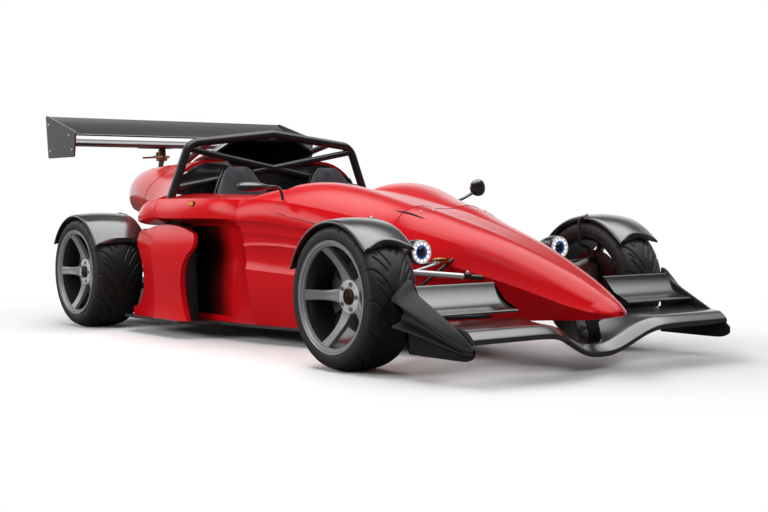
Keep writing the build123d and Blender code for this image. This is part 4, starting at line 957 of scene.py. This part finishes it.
def paintedShadeLining(tree):
    # a thin lining on the flank in the inlet, a millimetre proud of it and sunk behind, open at its front end; a
    # dark sheet that carries painted shade for the recess
    (back, front), (low, high) = trim["duct"]
    x, z = np.meshgrid(np.linspace(back, front, 60), np.linspace(low, high, 50), indexing="ij")
    hits = [tree.ray_cast(Vector((a, trim["outside"], b)), Vector(inward))[0] for a, b in zip(x.ravel(), z.ravel())]
    y = np.array([hit.y if hit else trim["ductMiss"] for hit in hits]).reshape(x.shape)
    inner = gridPoints(x, y - trim["ductSunk"], z)
    return capped(np.concatenate([gridPoints(x, y + trim["ductProud"], z), inner[:, ::-1]], 1), 3)


def trimPatches():
    # seams and a slot are tubes on the skins, the slot's width a root of a sine; pins and bolts are domed heads
    skin = sideTree("nose_cone", "scuttle_cowl", "flank_left")
    cover = sideTree("engine_cover", "engine_cover_collar")
    out = trim["outside"]
    patches = [seam(skin, [(trim["joint"], y, out) for y in np.linspace(0.0, trim["jointReach"], 60)], downward),
               seam(skin, [(x, out, z) for x, z in line(*trim["cowlSeam"], 60)], inward),
               seam(cover, [(x, out, z) for x, z in smoothPath(trim["coverSeam"], 50)], inward)]
    slotRun = laid(skin, [(x, y, out) for x, y in line(*trim["slot"], 30)], downward)
    wide = trim["slotHalf"] * np.sin(np.linspace(trim["slotEnd"], math.pi - trim["slotEnd"], 30)) ** 0.5
    patches.append(tube(slotRun - [0, 0, trim["slotSunk"]], wide, 12, 0))
    for x, y in trim["pins"]:
        place, normal = skin.ray_cast(Vector((x, y, out)), Vector(downward))[:2]
        patches.append(button(np.array(place), np.array(normal), *trim["pinSize"], 1))
    mark = np.array(trim["marker"])
    patches += [pebble(mark, trim["markerHalf"], 0.5, 2), pebble(mark - [0, 0.003, 0], trim["markerRim"], 0.4, 0)]
    patches += [button((x, trim["boltAcross"], z), acrossCar, *trim["boltSize"], 1) for x, z in trim["wingBolts"]]
    # the near-black pebble under the rail is painted shade, standing for the shadow in the gap above the pod
    return patches + [paintedShadeLining(sideTree("flank_left")), pebble(*trim["roof"], 0.4, 0)]


makePiece("bodyTrim", bothSides(trimPatches()),
          [extras[name] for name in ("seamShadow", "satinSilver", "amberLens", "paintedDuctShade")],
          "chassis", (), 40)
print("trim laid")


# Rear wing mounts: a dark pylon plate, a brass bracket under a black shoe, and a red tie bar

wingMount = {
    "across": 0.216, "thick": 0.01,
    "plate": ((-1.69, 0.905), (-1.632, 0.985), (-1.61, 1.075), (-1.665, 1.09), (-1.715, 0.905)),
    "bracket": (-1.668, 0.212, 1.02),
    # from the bracket's middle, half sizes
    "blocks": (((0.0, 0.006, -0.02), (0.04, 0.024, 0.012)), ((0.012, 0.01, 0.014), (0.016, 0.022, 0.03)),
               ((-0.024, 0.006, 0.006), (0.01, 0.026, 0.02))),
    "shoe": ((-1.655, 0.262, 1.072), (0.055, 0.11, 0.008)),
    "pins": (-0.03, 0.012, 0.03), "pinRadius": 0.008,
    "tie": ((-1.764, 0.3, 1.01), (-1.7, 0.21, 1.014)), "tieRadius": 0.006,
}


def wingMountPatches():
    # the plate is its outline drawn across by its thickness; the rest are rounded blocks and pins
    x, z = smoothPath([*wingMount["plate"], wingMount["plate"][0]], 48).T
    sides = np.stack([gridPoints(x, wingMount["across"] + shift, z) for shift in (0.0, wingMount["thick"])])
    patches = [capped(sides, 0, True)]
    bracket = np.array(wingMount["bracket"])
    patches += [pebble(bracket + shift, half, 0.4, 1) for shift, half in wingMount["blocks"]]
    patches.append(pebble(*wingMount["shoe"], 0.3, 0))
    for along in wingMount["pins"]:
        run = line(bracket + [along, -0.03, -0.006], bracket + [along, 0.05, -0.006], 4)
        patches.append(tube(run, wingMount["pinRadius"], 12, 2))
    return patches + [tube(line(*wingMount["tie"], 6), wingMount["tieRadius"], 10, 3)]


makePiece("wingMounts", bothSides(wingMountPatches()),
          [finishes["black_steel"], finishes["gold_anodised"], extras["satinSilver"], finishes["red_paint"]],
          "chassis", ["rear_wing_pylons"], 40)
print("wing mounts made")


# Studio: a pale floor that runs into a white surround, and soft lamps

studio = {
    "floorRadius": 60.0, "floorColour": 0.95, "bounceColour": 0.3, "floorDim": 0.7, "fillLevel": 0.3,
    "clearFrom": 2.0, "clearBy": 3.8, "clearStretch": (1.0, 1.6, 1.0),
    # what polished faces see: direction, ramp over its cosine, and strength
    "panels": (((-0.8, 0.6, 0.0), ((0.0, 0.03), (0.45, 0.25), (0.8, 1.0)), 1.0),
               ((0.1, 0.15, 0.98), ((0.7, 0.0), (0.86, 1.0)), 3.2),
               ((-0.78, -0.42, 0.46), ((0.93, 0.0), (0.99, 1.0)), 1.6),
               ((-0.33, -0.9, 0.29), ((0.955, 0.0), (0.99, 1.0)), 3.6)),
    "low": ((0.36, 1.0), (0.54, 0.05)),
}


def floorFinish():
    # plain pale floor near the car that turns to the surround's white further out
    material, tree, shader = newFinish("paleFloor", {"Roughness": 0.75, "Specular IOR Level": 0.15})
    path = addNode(tree, "LightPath", {}).outputs
    tone = ramp(tree, path["Is Camera Ray"], (0.0, grey(studio["bounceColour"])), (1.0, grey(studio["floorColour"])))
    dim = maths(tree, "SUBTRACT", 1.0, maths(tree, "MULTIPLY", path["Is Glossy Ray"], studio["floorDim"]))
    tree.links.new(maths(tree, "MULTIPLY", tone, dim), shader.inputs["Base Color"])
    away = addNode(tree, "VectorMath", {0: objectPoint(tree, scale=studio["clearStretch"])})
    away.operation = "LENGTH"
    clear = addNode(tree, "MapRange", {"Value": away.outputs["Value"], "From Min": studio["clearFrom"],
                                       "From Max": studio["clearBy"]})
    clear.interpolation_type = "SMOOTHSTEP"
    seen = maths(tree, "MULTIPLY", clear.outputs["Result"], path["Is Camera Ray"])
    white = addNode(tree, "Emission", {})
    mix = addNode(tree, "MixShader", {"Fac": seen, 1: shader.outputs[0], 2: white.outputs[0]})
    tree.links.new(mix.outputs[0], tree.nodes["Material Output"].inputs["Surface"])
    return material


def floorGrid():
    # a flat disc: radius by turn
    radius, turn = np.linspace(0, 1, 24)[:, None] ** 2 * studio["floorRadius"], fullTurn(64)
    return patch(gridPoints(radius * np.cos(turn), radius * np.sin(turn), 0.0), columnsMeet=True)


floor = makePiece("studioFloor", [floorGrid()], [floorFinish()], None)


def setWorld():
    # camera and transmission rays see white, glossy rays a pale wall behind the car with soft panels overhead
    # and to the side, and the rest a soft fill
    world = bpy.data.worlds.new("studio")
    scene.world = world
    world.use_nodes = True
    tree = world.node_tree
    path = addNode(tree, "LightPath", {}).outputs
    direct = maths(tree, "MAXIMUM", path["Is Camera Ray"], path["Is Transmission Ray"])
    way = addNode(tree, "TexCoord", {}).outputs["Generated"]
    height = addNode(tree, "SeparateXYZ", {0: way}).outputs["Z"]
    low = ramp(tree, height, *((place, grey(level)) for place, level in studio["low"]))
    seen = 0.0
    for index, (direction, stops, strength) in enumerate(studio["panels"]):
        facing = addNode(tree, "VectorMath", {0: way, 1: unit(direction)})
        facing.operation = "DOT_PRODUCT"
        level = ramp(tree, facing.outputs["Value"], *((place, grey(shade)) for place, shade in stops))
        if index == 0:
            level = maths(tree, "MULTIPLY", level, low)
        seen = maths(tree, "ADD", maths(tree, "MULTIPLY", level, strength), seen)
    white = tree.nodes["Background"]
    panels = addNode(tree, "Background", {"Strength": seen})
    fill = addNode(tree, "Background", {"Strength": studio["fillLevel"]})
    for light in (white, panels, fill):
        light.inputs["Color"].default_value = (1, 1, 1, 1)
    glossy = addNode(tree, "MixShader", {"Fac": path["Is Glossy Ray"], 1: fill.outputs[0], 2: panels.outputs[0]})
    shown = addNode(tree, "MixShader", {"Fac": direct, 1: glossy.outputs[0], 2: white.outputs[0]})
    tree.links.new(shown.outputs[0], tree.nodes["World Output"].inputs["Surface"])


setWorld()
lamps = (
    # name, place, looks at, width, height, watts
    ("topLamp", (-0.8, -0.3, 3.4), (-0.6, -0.1, 0.4), 6.4, 1.3, 125),
    ("noseLamp", (5.4, -1.0, 2.4), (1.0, 0.0, 0.4), 1.8, 0.5, 75),
    ("sideLamp", (-1.2, -5.2, 1.9), (-0.2, 0.0, 0.5), 3.4, 1.0, 130),
    ("backLamp", (-4.2, 4.6, 2.4), (-0.4, 0.0, 0.5), 3.0, 1.0, 80),
)
for name, place, target, width, height, watts in lamps:
    lamp = bpy.data.lights.new(name, "AREA")
    lamp.shape = "RECTANGLE"
    lamp.size, lamp.size_y, lamp.energy = width, height, watts
    holder = bpy.data.objects.new(name, lamp)
    holder.location = place
    holder.rotation_euler = (Vector(target) - Vector(place)).to_track_quat("-Z", "Y").to_euler()
    holder.visible_glossy = False
    scene.collection.objects.link(holder)
print("studio lit")


# Camera at the photograph's place

photoCamera = {"place": (5.8535, -4.1521, 0.738), "azimuth": 0.92505, "pitch": 0.041523, "roll": -0.0041141,
               "focalPixels": 1339.23, "imageWidth": 768}


def setCamera():
    # the way ahead from azimuth and pitch, then right and up turned by the roll
    azimuth, pitch, roll = (photoCamera[key] for key in ("azimuth", "pitch", "roll"))
    ahead = Vector((-math.sin(azimuth) * math.cos(pitch), math.cos(azimuth) * math.cos(pitch), -math.sin(pitch)))
    right = Vector((math.cos(azimuth), math.sin(azimuth), 0))
    up = right.cross(ahead)
    tiltedRight = math.cos(roll) * right + math.sin(roll) * up
    tiltedUp = -math.sin(roll) * right + math.cos(roll) * up
    turn = Matrix((tiltedRight, tiltedUp, -ahead)).transposed()
    data = bpy.data.cameras.new("photoCamera")
    data.sensor_width = 36.0
    data.lens = photoCamera["focalPixels"] / photoCamera["imageWidth"] * data.sensor_width
    data.clip_start, data.clip_end = 0.05, 200
    camera = bpy.data.objects.new("photoCamera", data)
    camera.matrix_world = Matrix.Translation(photoCamera["place"]) @ turn.to_4x4()
    scene.collection.objects.link(camera)
    scene.camera = camera


setCamera()
scene.view_settings.view_transform = "Standard"
